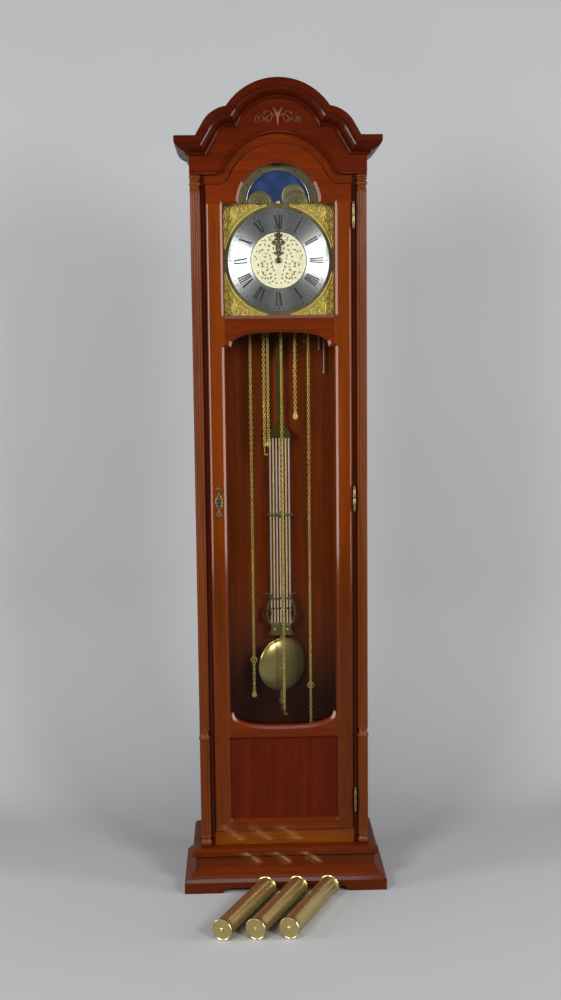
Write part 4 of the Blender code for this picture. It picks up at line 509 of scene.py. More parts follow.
class Shape:
    """Points and faces of one piece, gathered strip by strip."""

    def __init__(self):
        self.points = []
        self.faces = []

    def add(self, points, faces):
        first = len(self.points)
        self.points += [tuple(point) for point in points]
        self.faces += [tuple(first + i for i in face) for face in faces]

    def loft(self, rings, wrapped=False):
        """Skin over rings of points, each closed on itself."""
        count = len(rings[0])
        faces = []
        rows = len(rings)
        for r in range(rows if wrapped else rows - 1):
            low, high = r * count, (r + 1) % rows * count
            for i in range(count):
                j = (i + 1) % count
                faces.append((low + i, low + j, high + j, high + i))
        if not wrapped:
            faces += [tuple(range(count)), tuple(range((rows - 1) * count, rows * count))]
        self.add([point for ring in rings for point in ring], faces)

    def turned(self, profile, steps, place, wrapped=False):
        """A turned form from (radius, height) points between its two ends."""
        rings = []
        for radius, height in profile:
            turn = [2 * pi * i / steps for i in range(steps)]
            rings.append([place @ Vector((radius * cos(a), radius * sin(a), height)) for a in turn])
        self.loft(rings, wrapped)

    def head(self, profile, steps, x, depth, z):
        """A small turned form that faces the front, with its profile in millimetres."""
        self.turned(mm(*profile), steps, facing(x, depth, z))

    def strip(self, line, width, depth, height, section=RELIEF, start=1.0, taper=1.0, closed=False):
        """A raised strip that follows a line on an upright plane at a depth behind the front of the case."""
        last = len(line) - 1
        rings = []
        for i, (x, z) in enumerate(line):
            before = line[i - 1] if i or closed else line[0]
            after = line[(i + 1) % len(line)] if i < last or closed else line[last]
            along = Vector((after[0] - before[0], after[1] - before[1]))
            if along.length < 1e-9:
                along = Vector((1, 0))
            along.normalize()
            share = start + (taper - start) * i / max(last, 1)
            half = width / 2 * share
            rise = height * min(1.0, share * 1.4)
            ring = []
            for across, out in section:
                shift = half * across
                ring.append((x - along.y * shift, FRONT + depth - rise * out, z + along.x * shift))
            rings.append(ring)
        self.loft(rings, closed)

    def pair(self, line, *sizes, **options):
        """A strip along a line, and another along its mirror image."""
        for side in (line, flipped(line)):
            self.strip(side, *sizes, **options)

    def slab(self, corners, front, back):
        """A flat piece with straight edges."""
        self.loft([[(x, FRONT + depth, z) for x, z in corners] for depth in (front, back)])

    def sheet(self, loops, front, back, ease=0.0):
        """A flat piece with holes and eased edges."""
        curve = bpy.data.curves.new("outline", "CURVE")
        curve.dimensions = "2D"
        curve.fill_mode = "BOTH"
        curve.extrude = (back - front) / 2 - ease
        curve.bevel_depth = ease
        curve.bevel_resolution = 1
        curve.offset = -ease
        for loop in loops:
            spline = curve.splines.new("POLY")
            spline.points.add(len(loop) - 1)
            for point, (across, up) in zip(spline.points, loop):
                point.co = (across, up, 0, 1)
            spline.use_cyclic_u = True
        holder = bpy.data.objects.new("outline", curve)
        mesh = bpy.data.meshes.new_from_object(holder)
        turn = facing(0, (front + back) / 2, 0)
        self.add([turn @ v.co for v in mesh.vertices], [tuple(p.vertices) for p in mesh.polygons])
        bpy.data.objects.remove(holder)
        bpy.data.curves.remove(curve)
        bpy.data.meshes.remove(mesh)


def piece(name, shape, finish, body, replaces=(), sharp=38, place=Matrix()):
    """Make a piece of the clock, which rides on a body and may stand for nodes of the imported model."""
    mesh = bpy.data.meshes.new(name)
    mesh.from_pydata(shape.points, [], shape.faces)
    work = bmesh.new()
    work.from_mesh(mesh)
    bmesh.ops.remove_doubles(work, verts=work.verts, dist=0.000002)
    bmesh.ops.recalc_face_normals(work, faces=work.faces)
    work.to_mesh(mesh)
    work.free()
    mesh.transform(place.inverted())
    mesh.materials.append(finish.material)
    mesh.shade_smooth()
    mesh.set_sharp_from_angle(angle=radians(sharp))
    made = bpy.data.objects.new(name, mesh)
    made.matrix_world = place
    bpy.context.scene.collection.objects.link(made)
    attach(made, body)
    if replaces:
        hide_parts(*replaces)


def dress(finish, *names):
    """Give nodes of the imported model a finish."""
    for name in names:
        NODES[name].material_slots[0].material = finish.material


# Case


def arched_edge(half, shoulder, radius, fillet):
    """The line of a flat shoulder, a fillet and an arch, from left to right."""
    fillet_z = shoulder + fillet
    fillet_x = sqrt((radius + fillet) ** 2 - (fillet_z - HOOD_ARCH_Z) ** 2)
    join = atan2(fillet_z - HOOD_ARCH_Z, fillet_x)
    left = [(-half, shoulder)] + arc(-fillet_x, fillet_z, fillet, -pi / 2, -join, 10)
    arch = arc(0, HOOD_ARCH_Z, radius, pi - join, join, 40)
    return left + arch[1:-1] + flipped(reversed(left))


def crown_line(drop):
    """The crown's front line at a depth below its top edge, from the left corner to the right."""
    shoulder = SHOULDER_RADIUS - drop
    arch = CROWN_ARCH_RADIUS - drop
    start_x = -SHOULDER_X - shoulder * sin(SHOULDER_SLOPE)
    start_z = SHOULDER_Z + shoulder * cos(SHOULDER_SLOPE)
    flat_z = CORNICE_Z - drop
    corner_x = start_x - (start_z - flat_z) * cos(SHOULDER_SLOPE) / sin(SHOULDER_SLOPE)
    across = Vector((-SHOULDER_X, SHOULDER_Z - CROWN_ARCH_Z))
    span = across.length
    along = (arch**2 - shoulder**2 + span**2) / (2 * span)
    height = sqrt(arch**2 - along**2)
    unit = across / span
    notch_x = unit.x * along + unit.y * height
    notch_z = CROWN_ARCH_Z + unit.y * along - unit.x * height
    on_shoulder = atan2(notch_z - SHOULDER_Z, notch_x + SHOULDER_X)
    on_arch = atan2(notch_z - CROWN_ARCH_Z, notch_x)
    left = [(corner_x, flat_z)]
    left += arc(-SHOULDER_X, SHOULDER_Z, shoulder, SHOULDER_SLOPE + pi / 2, on_shoulder, CROWN_STEPS)
    left += arc(0, CROWN_ARCH_Z, arch, on_arch, pi / 2, CROWN_STEPS)[1:]
    return left + flipped(reversed(left[:-1]))


def crown_section():
    """The crown's section as (drop, projection): fascia, groove, cove and foot bead."""
    fascia = mm((0, 32.5), (1.0, 34.0), (2.6, 34.5), (14.8, 34.5), (15.8, 33.8))
    groove = mm((16.2, 31.6), (17.4, 31.2), (18.2, 32.2), (19.6, 32.2), (20.4, 31.2))
    cove = []
    for i in range(11):
        a = pi / 2 * i / 10
        hollow = 0.35 * (1 - sin(a)) + 0.65 * cos(a) ** 2
        cove.append((0.0206 + 0.0154 * sin(a), 0.0066 + 0.0242 * hollow))
    bead = mm((36.4, 8.2), (37.8, 9.2), (39.6, 9.2), (41.0, 8.0), (41.8, 6.0))
    return fascia + groove + cove + bead + mm((44.0, 3.6), (44.0, 0.4), (0, 0.4))


def crown_moulding():
    """The crown's section swept along its shoulders and arch, and straight back along both sides."""
    rows = []
    for drop, out in crown_section():
        x, y, z = HALF_WIDTH + out, FRONT - out, CORNICE_Z - drop
        line = [(px, y, pz) for px, pz in crown_line(drop)]
        rows.append([(-x, CASE_BACK, z), (-x, y, z), *line, (x, y, z), (x, CASE_BACK, z)])
    shape = Shape()
    shape.loft(list(zip(*rows)))
    piece("crown_mould", shape, crown_wood, "case", ["crown_moulding"], 30)


# Rounded rings of the columns: low, high, radius at the edges and radius at the crest
COLUMN_TURNINGS = (
    (COLUMN_FOOT, ((0, 16, 10.8, 14.6), (20.5, 27.5, 10.8, 13.4))),
    (COLUMN_FOOT + 0.276, ((0, 15, 10.8, 14.6), (25.5, 30.5, 10.6, 13.4))),
    (
        COLUMN_HEAD,
        ((0, 4.5, 11, 13.4), (9.5, 21.5, 10.4, 14.4), (23.8, 29, 11.2, 14), (29.8, 36, 11.6, 14.6)),
    ),
)


def bulge(base, low, high, edge, crest, steps=6):
    """Heights and radii over a rounded ring."""
    rows = []
    for k in range(steps + 1):
        radius = edge + (crest - edge) * sin(pi * k / steps) ** 0.7
        rows.append((base + low + (high - low) * k / steps, radius))
    return rows


def column(side, name):
    """A reeded column with turned rings and beads at its foot, above the foot and at its head."""
    levels = []
    for base, rings in COLUMN_TURNINGS:
        rows = [row for ring in mm(*rings) for row in bulge(base, *ring)]
        levels += [(rows[0][0] - gap, COLUMN_RADIUS, reeded) for gap, reeded in REED_ENDS]
        levels += [(height, radius, 0.0) for height, radius in rows]
        levels += [(rows[-1][0] + gap, COLUMN_RADIUS, reeded) for gap, reeded in reversed(REED_ENDS)]
    count = REED_COUNT * REED_STEPS
    centre_x = side * (HALF_WIDTH - COLUMN_RADIUS)
    rings = []
    for height, radius, reeded in levels[len(REED_ENDS) : -len(REED_ENDS)]:
        points = []
        for i in range(count):
            angle = 2 * pi * i / count
            across = 2 * (i % REED_STEPS) / REED_STEPS - 1
            reach = radius - REED_DEPTH * reeded * (1 - sqrt(1 - 0.98 * across**2))
            y = FRONT + COLUMN_RADIUS + reach * sin(angle)
            points.append((centre_x + reach * cos(angle), y, height))
        rings.append(points)
    shape = Shape()
    shape.loft(rings)
    piece(name + "_reeds", shape, column_wood, "case", [name], 50)


def door_stile(side, name):
    """An upright of the door, chamfered outside, and bevelled and rebated beside each opening."""
    low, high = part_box(name)
    inner, outer = sorted((abs(low.x), abs(high.x)))
    levels = [(low.z, 0.0)]
    for opening_low, opening_high in DOOR_OPENINGS:
        levels += [(opening_low - BEVEL_WIDTH, 0.0), (opening_low, 1.0), (opening_high, 1.0)]
        if opening_high < high.z - BEVEL_WIDTH:
            levels += [(opening_high + BEVEL_WIDTH, 0.0)]
    levels[-1] = (high.z, 1.0)
    rings = []
    for z, share in levels:
        section = [(outer, high.y), (outer, low.y + ARRIS_DEPTH), (outer - ARRIS_WIDTH, low.y)]
        section += [(inner + across, low.y + depth * share) for across, depth in STILE_BEVEL]
        section.append((inner, high.y))
        rings.append([(side * x, y, z) for x, y in section])
    shape = Shape()
    shape.loft(rings)
    piece(name + "_eased", shape, stile_wood, "door", [name], 8)


def window_foot_bevel():
    """The polished bevel along the curved lower edge of the window."""
    ledge = DOOR_OPENINGS[1][0]
    line = []
    for k in range(FOOT_STEPS + 1):
        across = -cos(pi * k / FOOT_STEPS)
        dip = (1 - abs(across) ** FOOT_ROUNDNESS) ** (1 / FOOT_ROUNDNESS)
        line.append((across * FOOT_HALF, ledge - dip * FOOT_DIP))
    shape = Shape()
    door_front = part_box("door_lower_rail")[0].y - FRONT
    shape.strip(line, BEVEL_WIDTH, door_front + BEVEL_DEPTH, BEVEL_DEPTH, FOOT_BEVEL)
    piece("window_foot_bevel", shape, bevel_wood, "door", sharp=30)


def frieze_beads():
    """Two beads along the arched lower edge of the frieze."""
    shape = Shape()
    half = HALF_WIDTH - 0.001
    for rise, width, height in mm((2.4, 4.4, 2.6), (6.8, 3.2, 1.6)):
        line = arched_edge(half, FRIEZE_Z + rise, FRIEZE_ARCH_RADIUS + rise, FRIEZE_FILLET - rise)
        shape.strip(line, width, 0.0, height)
    piece("frieze_beads", shape, frieze_wood, "case")


# Strokes of the right half: points, steps, curl, width, height and taper
CARVED_SCROLLS = (
    (((2, 0), (12, 5), (22, 2), (30, -6), (40, -9)), 5, (47.5, -4, 8.5, 215, 470, 20), 5.0, 5.0, 0.55),
    (((12, 4), (16, -6), (20, -11)), 4, (24.5, -9, 5.6, 200, 420, 16), 4.0, 4.6, 0.5),
    (((10, 3), (18, 11), (27, 12)), 4, (31.5, 8.5, 5.2, 130, -400, 16), 3.8, 4.2, 0.5),
    (((31, -5), (40, 3), (46, 11)), 6, None, 4.6, 4.0, 0.1),
    (((49, -10), (55, -12), (60, -8)), 6, None, 4.2, 3.6, 0.1),
)
CARVED_KNOB = ((0, 4.6), (1.2, 4.3), (2.2, 2.8), (2.6, 0))


def frieze_carving():
    """Scrolls and leaves carved in relief over the arch of the frieze."""
    shape, leaves = Shape(), Shape()
    for points, steps, eye, width, height, taper in CARVED_SCROLLS:
        line = scroll(points, steps, eye, CARVING_Z)
        shape.pair(line, width * MM, 0.0, height * MM, taper=taper)
        if eye:
            for side in (-MM, MM):
                shape.head(CARVED_KNOB, 10, side * eye[0], 0.0, CARVING_Z + eye[1] * MM)
    side_leaf = scroll(((1, 2), (6, 13), (12, 23)), 6, z=CARVING_Z)
    leaves.pair(side_leaf, 0.0072, 0.0, 0.0058, taper=0.1)
    upper_leaf = scroll(((0, 2), (0, 10), (0, 18)), 4, z=CARVING_Z)
    leaves.strip(upper_leaf, 0.0056, 0.0, 0.0062, taper=0.1)
    lower_leaf = scroll(((0, 2), (0, -10), (0, -20)), 4, z=CARVING_Z)
    leaves.strip(lower_leaf, 0.0070, 0.0, 0.0056, taper=0.2)
    piece("frieze_carving", shape, carved_wood, "case", sharp=60)
    piece("frieze_carved_leaves", leaves, carved_leaf_highlight_wood, "case", sharp=60)


# Points of the escutcheon, in hundredths of its half width and half height
KEYHOLE_EDGE = (
    (5, 100), (20, 96), (60, 88), (64, 80), (34, 74), (24, 66), (24, 54), (32, 46), (58, 34), (86, 20),
    (84, 12), (70, 7), (92, 2), (100, -4), (92, -10), (74, -14), (90, -19), (86, -26), (56, -36), (30, -46),
    (22, -56), (26, -64), (48, -70), (50, -78), (66, -84), (52, -90), (20, -96), (5, -100),
)
KEYHOLE_BEADS = ((0, 86), (52, 83), (32, -70), (50, -84), (0, -91), (86, -4), (70, 16), (74, -23))
KEYHOLE_RIM = ((10, 50), (36, 36), (58, 18), (66, 0), (56, -22), (30, -38), (6, -50))
KEYHOLE_BARS = (58, -55)


def keyhole_plate():
    """The escutcheon: a scalloped plate round the keyhole, with beaded finials at both ends."""
    low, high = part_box("escutcheon")
    x, z = (low.x + high.x) / 2, (low.z + high.z) / 2
    tall, wide = (high.z - low.z) / 200, (high.x - low.x) / 200
    back = high.y - FRONT
    edge = mirrored(smooth([(wide * a, tall * b) for a, b in KEYHOLE_EDGE], 3), x, z)
    hole = arc(x, z + 0.0029, 0.0028, radians(-65), radians(245), 14)
    hole += arc(x, z - 0.0062, 0.0027, radians(115), radians(425), 14)
    shape = Shape()
    shape.sheet([edge, hole], back - 0.0014, back, 0.0004)
    front = back - 0.0013
    for across, up in KEYHOLE_BEADS:
        for side in (-1, 1) if across else (1,):
            bead = ((0, 1.3), (1.0, 1.1), (1.8, 0.5), (2.0, 0))
            shape.head(bead, 12, x + side * across * wide, front, z + up * tall)
    for side in (-1, 1):
        rim = smooth([(x + side * wide * a, z + tall * b) for a, b in KEYHOLE_RIM], 3)
        shape.strip(rim, 0.0017, front, 0.0010)
    for up in KEYHOLE_BARS:
        shape.strip([(x, z + tall * (up + rise)) for rise in (-9, 0, 9)], 0.0024, front, 0.0011)
    piece("keyhole_plate", shape, plate_brass, "door", ["escutcheon"], 50)
    # A black sheet behind the keyhole: painted shade for the dark depth of the lock.
    dark = Shape()
    dark.sheet([hole], back - 0.0003, back - 0.0001)
    piece("keyhole_painted_shade", dark, ink, "door")


def hinge(level):
    """A pair of leaves on a pin with ball finials, one leaf on the case and one on the door."""
    case_name, door_name = "hinge_" + level + "_case_leaf", "hinge_" + level + "_door_leaf"
    case_low, case_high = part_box(case_name)
    door_low, door_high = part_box(door_name)
    x, y, z = case_high.x - HINGE_RADIUS, door_low.y + HINGE_RADIUS, case_low.z + HINGE_HALF
    pin = Matrix.Translation((x, y, z))
    ball = mm((3.4, 24.5), (3.0, 25.6), (1.4, 26.4), (2.2, 27.4), (2.7, 29.0), (2.2, 30.6))
    ball += mm((1.2, 31.6), (1.2, 32.4), (0.4, 33.0))
    barrel = [(radius, -height) for radius, height in reversed(ball)]
    barrel += mm((3.4, -22.6), (3.1, -22.2), (3.5, -21.6), (3.5, -1.2), (3.2, -0.5), (1.7, -0.5))
    barrel += mm((1.7, 22.4), (3.2, 22.6)) + ball
    tube = mm((1.9, 0.5), (3.2, 0.5), (3.5, 1.2), (3.5, 21.2), (3.2, 21.9), (1.9, 21.9))
    fixed, swinging = Shape(), Shape()
    fixed.turned(barrel, 20, pin)
    swinging.turned(tube, 20, pin)
    for shape, low, high, up in ((fixed, case_low, case_high, -1), (swinging, door_low, door_high, 1)):
        reach, middle, tall = high.y - y, up * KNUCKLE_Z, KNUCKLE_HALF
        edge = [(0.0, middle - tall), (reach - 0.003, middle - tall), (reach, middle - tall + 0.003)]
        edge += [(a, 2 * middle - b) for a, b in reversed(edge)]
        leaf = Shape()
        leaf.sheet([edge], 0.0, HINGE_LEAF)
        for rise in (-0.006, 0.006):
            leaf.head(((0, 0.3), (1.8, 0.2), (2.2, 0)), 12, reach * 0.62, 0.0, middle + rise)
        half = HINGE_LEAF / 2
        points = [(low.x + half - up * (b - FRONT - half), y + a, z + c) for a, b, c in leaf.points]
        shape.add(points, leaf.faces)
        ends = {-1: low.x, 1: x - KNUCKLE_BORE}
        neck = [(ends[a], z + middle + b * tall) for a, b in SQUARE]
        shape.slab(neck, y - FRONT, y - FRONT + 0.0017)
    piece(case_name + "_turned", fixed, dark_brass, "case", [case_name], 50)
    piece(door_name + "_turned", swinging, dark_brass, "door", [door_name], 50)


# Dial


def chapter_ring():
    """The silvered ring, with its front edges eased."""
    place = facing(0, RING_FRONT, DIAL_Z)
    inner, outer, thick = RING_INNER, RING_OUTER, RING_FRONT - RING_BACK
    profile = [(inner, thick), (inner, -RING_EASE), (inner + RING_EASE, 0.0)]
    profile += [(outer - RING_EASE, 0.0), (outer, -RING_EASE), (outer, thick)]
    shape = Shape()
    shape.turned(profile, 128, place, wrapped=True)
    piece("silvered_chapter_ring", shape, silvered, "case", ["chapter_ring"], 20, place)


# Letters as advance, strokes from point to point with a thickness, and serifs with a length
LETTERS = {
    "I": (0.40, (((0.0, 0.0), (0.0, 1.0), 0.27),), ((0.0, 0.0, 0.38), (0.0, 1.0, 0.38))),
    "V": (
        0.92,
        (((0.02, 0.0), (-0.29, 1.0), 0.32), ((0.02, 0.0), (0.29, 1.0), 0.09)),
        ((-0.29, 1.0, 0.42), (0.29, 1.0, 0.34)),
    ),
    "X": (
        0.94,
        (((0.29, 0.0), (-0.29, 1.0), 0.32), ((-0.29, 0.0), (0.29, 1.0), 0.09)),
        ((-0.29, 1.0, 0.40), (0.29, 1.0, 0.34), (-0.29, 0.0, 0.34), (0.29, 0.0, 0.40)),
    ),
}
HOURS = ("XII", "I", "II", "III", "IIII", "V", "VI", "VII", "VIII", "IX", "X", "XI")


def numerals():
    """Roman numerals with thick and thin strokes, feet to the centre, and the minute track outside them."""
    shape = Shape()
    middle = NUMERAL_FOOT + NUMERAL_HEIGHT / 2
    wide, tall = NUMERAL_SQUEEZE * NUMERAL_HEIGHT, NUMERAL_HEIGHT

    def mark(turn, corners):
        placed = []
        for across, reach in corners:
            x = across * cos(turn) + reach * sin(turn)
            placed.append((x, DIAL_Z + reach * cos(turn) - across * sin(turn)))
        shape.slab(placed, RING_FRONT - INK_RISE, RING_FRONT)

    for hour, text in enumerate(HOURS):
        pen = -sum(LETTERS[letter][0] for letter in text) * wide / 2
        for letter in text:
            advance, strokes, serifs = LETTERS[letter]
            turn = 2 * pi * hour / 12 + (pen + advance * wide / 2) / middle
            pen += advance * wide
            for (x0, z0), (x1, z1), thick in strokes:
                half = thick / 2
                corners = ((x0 - half, z0), (x0 + half, z0), (x1 + half, z1), (x1 - half, z1))
                mark(turn, [(x * wide, NUMERAL_FOOT + z * tall) for x, z in corners])
            for x, z, length in serifs:
                half, thin, reach = length / 2 * wide, SERIF_HALF * tall, NUMERAL_FOOT + z * tall
                mark(turn, [(x * wide + a * half, reach + b * thin) for a, b in SQUARE])
    for minute in range(60):
        half, reach = (0.0008, 0.0042) if minute % 5 == 0 else (0.0009, 0.0009)
        mark(2 * pi * minute / 60, [(a * half, TRACK_RADIUS + b * reach) for a, b in SQUARE])
    piece("numerals", shape, ink, "case")


def comma(x, z, angle, length, width, bend):
    """A bent leaf-shaped opening, pointed at one end and round at the other."""
    outline = []
    for side in (1, -1):
        row = []
        for k in range(6):
            share = k / 5
            half = width / 2 * sin(pi * min(share * 0.9 + 0.1, 1.0)) ** 0.7
            row.append((length * (share - 0.5), bend * length * sin(pi * share) + side * half))
        outline += row if side == 1 else list(reversed(row))[1:]
    turn = radians(angle)
    return [(x + a * cos(turn) - b * sin(turn), z + a * sin(turn) + b * cos(turn)) for a, b in outline]


# Openings of the right half: across, up, angle, length, width and bend
OPENINGS = (
    (14.5, 31.5, 80, 8, 3, 0.1), (26.5, 36, 20, 9, 3.2, 0.35), (26, 25.5, -35, 8, 2.6, 0.25),
    (37, 41.5, 70, 7, 2.4, 0.2), (47.5, 38.5, -30, 8, 2.8, 0.3), (43.5, 29.5, -10, 9, 2.8, -0.3),
    (50.5, 23, 60, 7, 2.4, 0.2), (58, 24, 75, 6, 2, 0.15), (62, 10.5, 30, 6, 2.6, 0.2),
    (57, 3.5, -50, 7, 2.2, 0.2), (36, 8, 10, 7, 2.4, 0.3), (37.5, -0.5, -15, 7, 2.2, -0.3),
    (44.5, -8, 70, 9, 3.4, 0.2), (52, -10.5, 85, 9, 2.8, -0.15), (41.5, -17.5, -20, 8, 2.8, 0.3),
    (30.5, -9.5, 50, 7, 2.2, 0.2), (18, -7, -60, 8, 3, 0.15), (17.5, -16.5, -50, 9, 2.8, -0.1),
    (13.5, -24.5, 60, 8, 2.2, 0.1), (29, -26, -40, 8, 2.8, 0.2), (43, -32, 60, 10, 3.4, 0.25),
    (36.5, -35.5, -20, 7, 2.6, -0.3), (55, -31, 60, 7, 2.6, 0.1), (22.5, -36, 10, 8, 2.8, 0.35),
    (9, -37.5, -60, 7, 2.2, 0.1), (18.5, -45.5, -60, 9, 3, 0.3), (27.5, -45.5, 65, 8, 2.6, -0.2),
    (9, -47, -40, 7, 2.6, 0.1), (34, -46, -70, 8, 2.6, 0.15), (44, -45, 30, 6, 2.6, 0.2),
    (26, -58.5, 20, 7, 2.2, 0.15), (16, -55, -10, 7, 2.4, 0.25), (6, -59, -30, 6, 2, 0.2),
    (26, 58.5, 60, 8, 2.4, 0.2), (17.5, 62, -60, 5, 2.4, 0.1), (33.5, 52.5, 50, 8, 2.4, -0.2),
    (21, 51, -20, 8, 2.6, 0.3), (12.5, 45, 70, 8, 2.4, 0.2), (41, 50, -30, 6, 2, 0.2),
    (13, 17.5, 30, 8, 2.4, 0.3), (23.5, 12.5, 70, 7, 2.2, 0.2), (20, 3.5, -40, 6, 2.2, 0.2),
    (32.5, 19.5, 20, 7, 2.2, -0.25), (9.5, 55.5, 80, 6, 2.2, 0.1), (30, -17.5, 60, 6, 2, 0.15),
)


def dial_centre():
    """A pierced gilt plate, the same on both sides of its upright middle line, over a dark ground."""
    ground = Shape()
    arbor_hole = ring_line(0, DIAL_Z, 0.0038, 24)
    edge = ring_line(0, DIAL_Z, CENTRE_RADIUS, 96)
    ground.sheet([edge, arbor_hole], RING_FRONT + 0.0008, RING_BACK, 0.0002)
    piece("dial_centre_ground", ground, pierced_ground, "case", ["dial_centre"])
    loops = [ring_line(0, DIAL_Z, CENTRE_RADIUS - 0.0012, 96), arbor_hole]
    for across, up, angle, length, width, bend in OPENINGS:
        place = (across * PIERCING_SPREAD, up * PIERCING_SPREAD)
        opening = comma(*place, angle, length * PIERCING_LENGTH, width * PIERCING_WIDTH, bend)
        opening = [(x, DIAL_Z + z) for x, z in opening]
        loops += [opening, flipped(opening)]
    plate = Shape()
    plate.sheet(loops, RING_FRONT - 0.0002, RING_FRONT + 0.0008)
    for radius, width in ((CENTRE_RADIUS - 0.0016, 0.0026), (0.0105, 0.0022)):
        plate.strip(ring_line(0, DIAL_Z, radius, 72), width, RING_FRONT - 0.0001, 0.0007, closed=True)
    piece("dial_centre_filigree", plate, pale_gilt, "case", sharp=40)


# Strokes on one side of the diagonal, counted inwards from the corner: points, steps, curl, width and taper
SPANDREL_SCROLLS = (
    (None, 0, (30, 14.5, 10, 150, 480, 22), 4.2, 0.5),
    (((20, 16), (34, 26), (50, 20)), 5, None, 3.6, 0.4),
    (None, 0, (53, 11.5, 7.8, 170, 470, 20), 3.6, 0.5),
    (((46, 18), (62, 16), (74, 9)), 5, None, 3.4, 0.3),
    (None, 0, (71, 7.5, 5, 170, 450, 18), 2.8, 0.5),
    (((78, 6), (90, 4), (104, 2.2)), 5, None, 4.2, 0.2),
    (((12, 10), (22, 4), (34, 2.5)), 5, None, 3.6, 0.3),
    (((40, 6), (50, 2.5), (60, 2.5)), 5, None, 3.0, 0.3),
    (((20, 20), (24, 30), (34, 33)), 5, None, 4.0, 0.3),
    (((36, 30), (43, 26), (47, 28)), 4, None, 2.8, 0.3),
)
# Leaves on the diagonal: places, width, height and taper
SPANDREL_LEAVES = (
    ((18, 24, 27), 5.0, 1.7, 0.2), ((18, 30.4, 38.2), 5.8, 1.7, 0.2), ((17, 10, 4), 6.2, 1.8, 0.3),
)


def spandrel(side, up, name):
    """A cast corner piece: a grained ground, a rim, and leafy scrolls on both sides of the diagonal."""

    def placed(line):
        return [(side * x, DIAL_Z + up * z) for x, z in line]

    half, radius = SPANDREL_HALF, SPANDREL_RADIUS
    tip = asin(SPANDREL_TIP / radius)
    inner = arc(0, 0, radius, tip, pi / 2 - tip, 40)
    outline = [(SPANDREL_TIP, half), (half, half), (half, SPANDREL_TIP), *inner]
    ground = Shape()
    ground.sheet([placed(outline)], RING_FRONT + 0.0005, RING_BACK, 0.0002)
    piece(name + "_ground", ground, gilt_ground_painted_shade, "case", [name], 20)
    shape = Shape()
    depth = RING_FRONT + 0.0006
    rim = arc(0, 0, radius + 0.0022, tip + 0.02, pi / 2 - tip - 0.02, 40)
    shape.strip(placed(rim), 0.0032, depth, 0.0013)
    for points, steps, eye, width, taper in SPANDREL_SCROLLS:
        line = [(half - a, half - b) for a, b in scroll(points, steps, eye)]
        for stroke in (line, [(b, a) for a, b in line]):
            shape.strip(placed(stroke), width * MM, depth, 0.0015, taper=taper)
    for places, width, height, taper in SPANDREL_LEAVES:
        leaf = [(half - a, half - b) for a, b in scroll([(a, a) for a in places], 4)]
        shape.strip(placed(leaf), width * MM, depth, height * MM, taper=taper)
    knob = ((0, 2.0), (2.2, 1.7), (3.6, 0.8), (4.0, 0))
    shape.head(knob, 16, side * SPANDREL_KNOB, depth, DIAL_Z + up * SPANDREL_KNOB)
    piece(name + "_scrolls", shape, gilt_scrolls, "case", sharp=70)


def moon_arch():
    """The brass ring round the moon's opening, its lip and day marks, and the two engraved humps."""
    ring = Shape()
    loop = arc(0, MOON_Z, SIGHT_ARCH_RADIUS + 0.010, radians(-4), radians(184), 64)
    loop += arc(0, MOON_Z, SKY_RADIUS, pi, 0, 64)
    front = DIAL_FRONT - 0.0012
    ring.sheet([loop], front, DIAL_FRONT - 0.0002, 0.0003)
    piece("moon_ring", ring, moon_ring_brass, "case", sharp=20)
    lip = Shape()
    lip.strip(arc(0, MOON_Z, SKY_RADIUS + 0.0012, 0, pi, 64), 0.0040, DIAL_FRONT - 0.0008, 0.0030)
    piece("moon_ring_lip", lip, bright_steel, "case", sharp=60)
    marks = Shape()
    for k in range(7):
        out = Vector((cos(pi * k / 6), sin(pi * k / 6)))
        along = Vector((-out.y, out.x))
        corners = [out * (DAY_MARK_RADIUS + a * 0.0020) + along * b * 0.0019 for a, b in SQUARE]
        marks.slab([(c.x, MOON_Z + c.y) for c in corners], front - 0.00015, front)
    piece("moon_ring_marks", marks, ink, "case")
    humps, lines = Shape(), Shape()
    edge = mm((2.5, 1.1), (0.5, 0.7), (0, 0.1))
    dome = mm((0, 1.2), (10, 1.2)) + [(HUMP_RADIUS - inset, rise) for inset, rise in edge]
    for x in (-HUMP_X, HUMP_X):
        humps.turned(dome, 64, facing(x, DIAL_FRONT - 0.0001, MOON_Z))
        for reach in (0.008, 0.015, 0.022, 0.0265):
            lines.strip(arc(x, MOON_Z, reach, 0, pi, 28), 0.0014, front, 0.0005)
        for k in range(1, 12):
            angle = pi * k / 12
            ray = [(x + r * cos(angle), MOON_Z + r * sin(angle)) for r in (0.0155, 0.018, 0.0215)]
            lines.strip(ray, 0.0022, front, 0.0006, start=0.4)
    piece("moon_humps", humps, hump_brass, "case", sharp=60)
    piece("moon_hump_lines", lines, moon_ring_brass, "case", sharp=60)


def moons():
    """Two plain gilt moons on the turning disc, of which one shows."""
    shape = Shape()
    profile = mm((0, 1.3), (12, 1.2), (22, 0.9)) + [(MOON_RADIUS - 0.001, 0.0004), (MOON_RADIUS, 0.0)]
    for sign in (1, -1):
        x, z = sign * MOON_PLACE[0], MOON_Z + sign * MOON_PLACE[1]
        shape.turned(profile, 48, facing(x, MOON_DISC_FRONT - 0.0001, z))
    piece("gilt_moons", shape, moon_gold, "moon")
    boss = Shape()
    cap = ((0, 3.0), (2.2, 2.7), (4.2, 1.8), (5.6, 0.6), (6.0, -0.4))
    boss.head(cap, 28, 0, DIAL_FRONT - 0.0016, MOON_Z)
    piece("moon_boss_cap", boss, bright_brass, "moon")


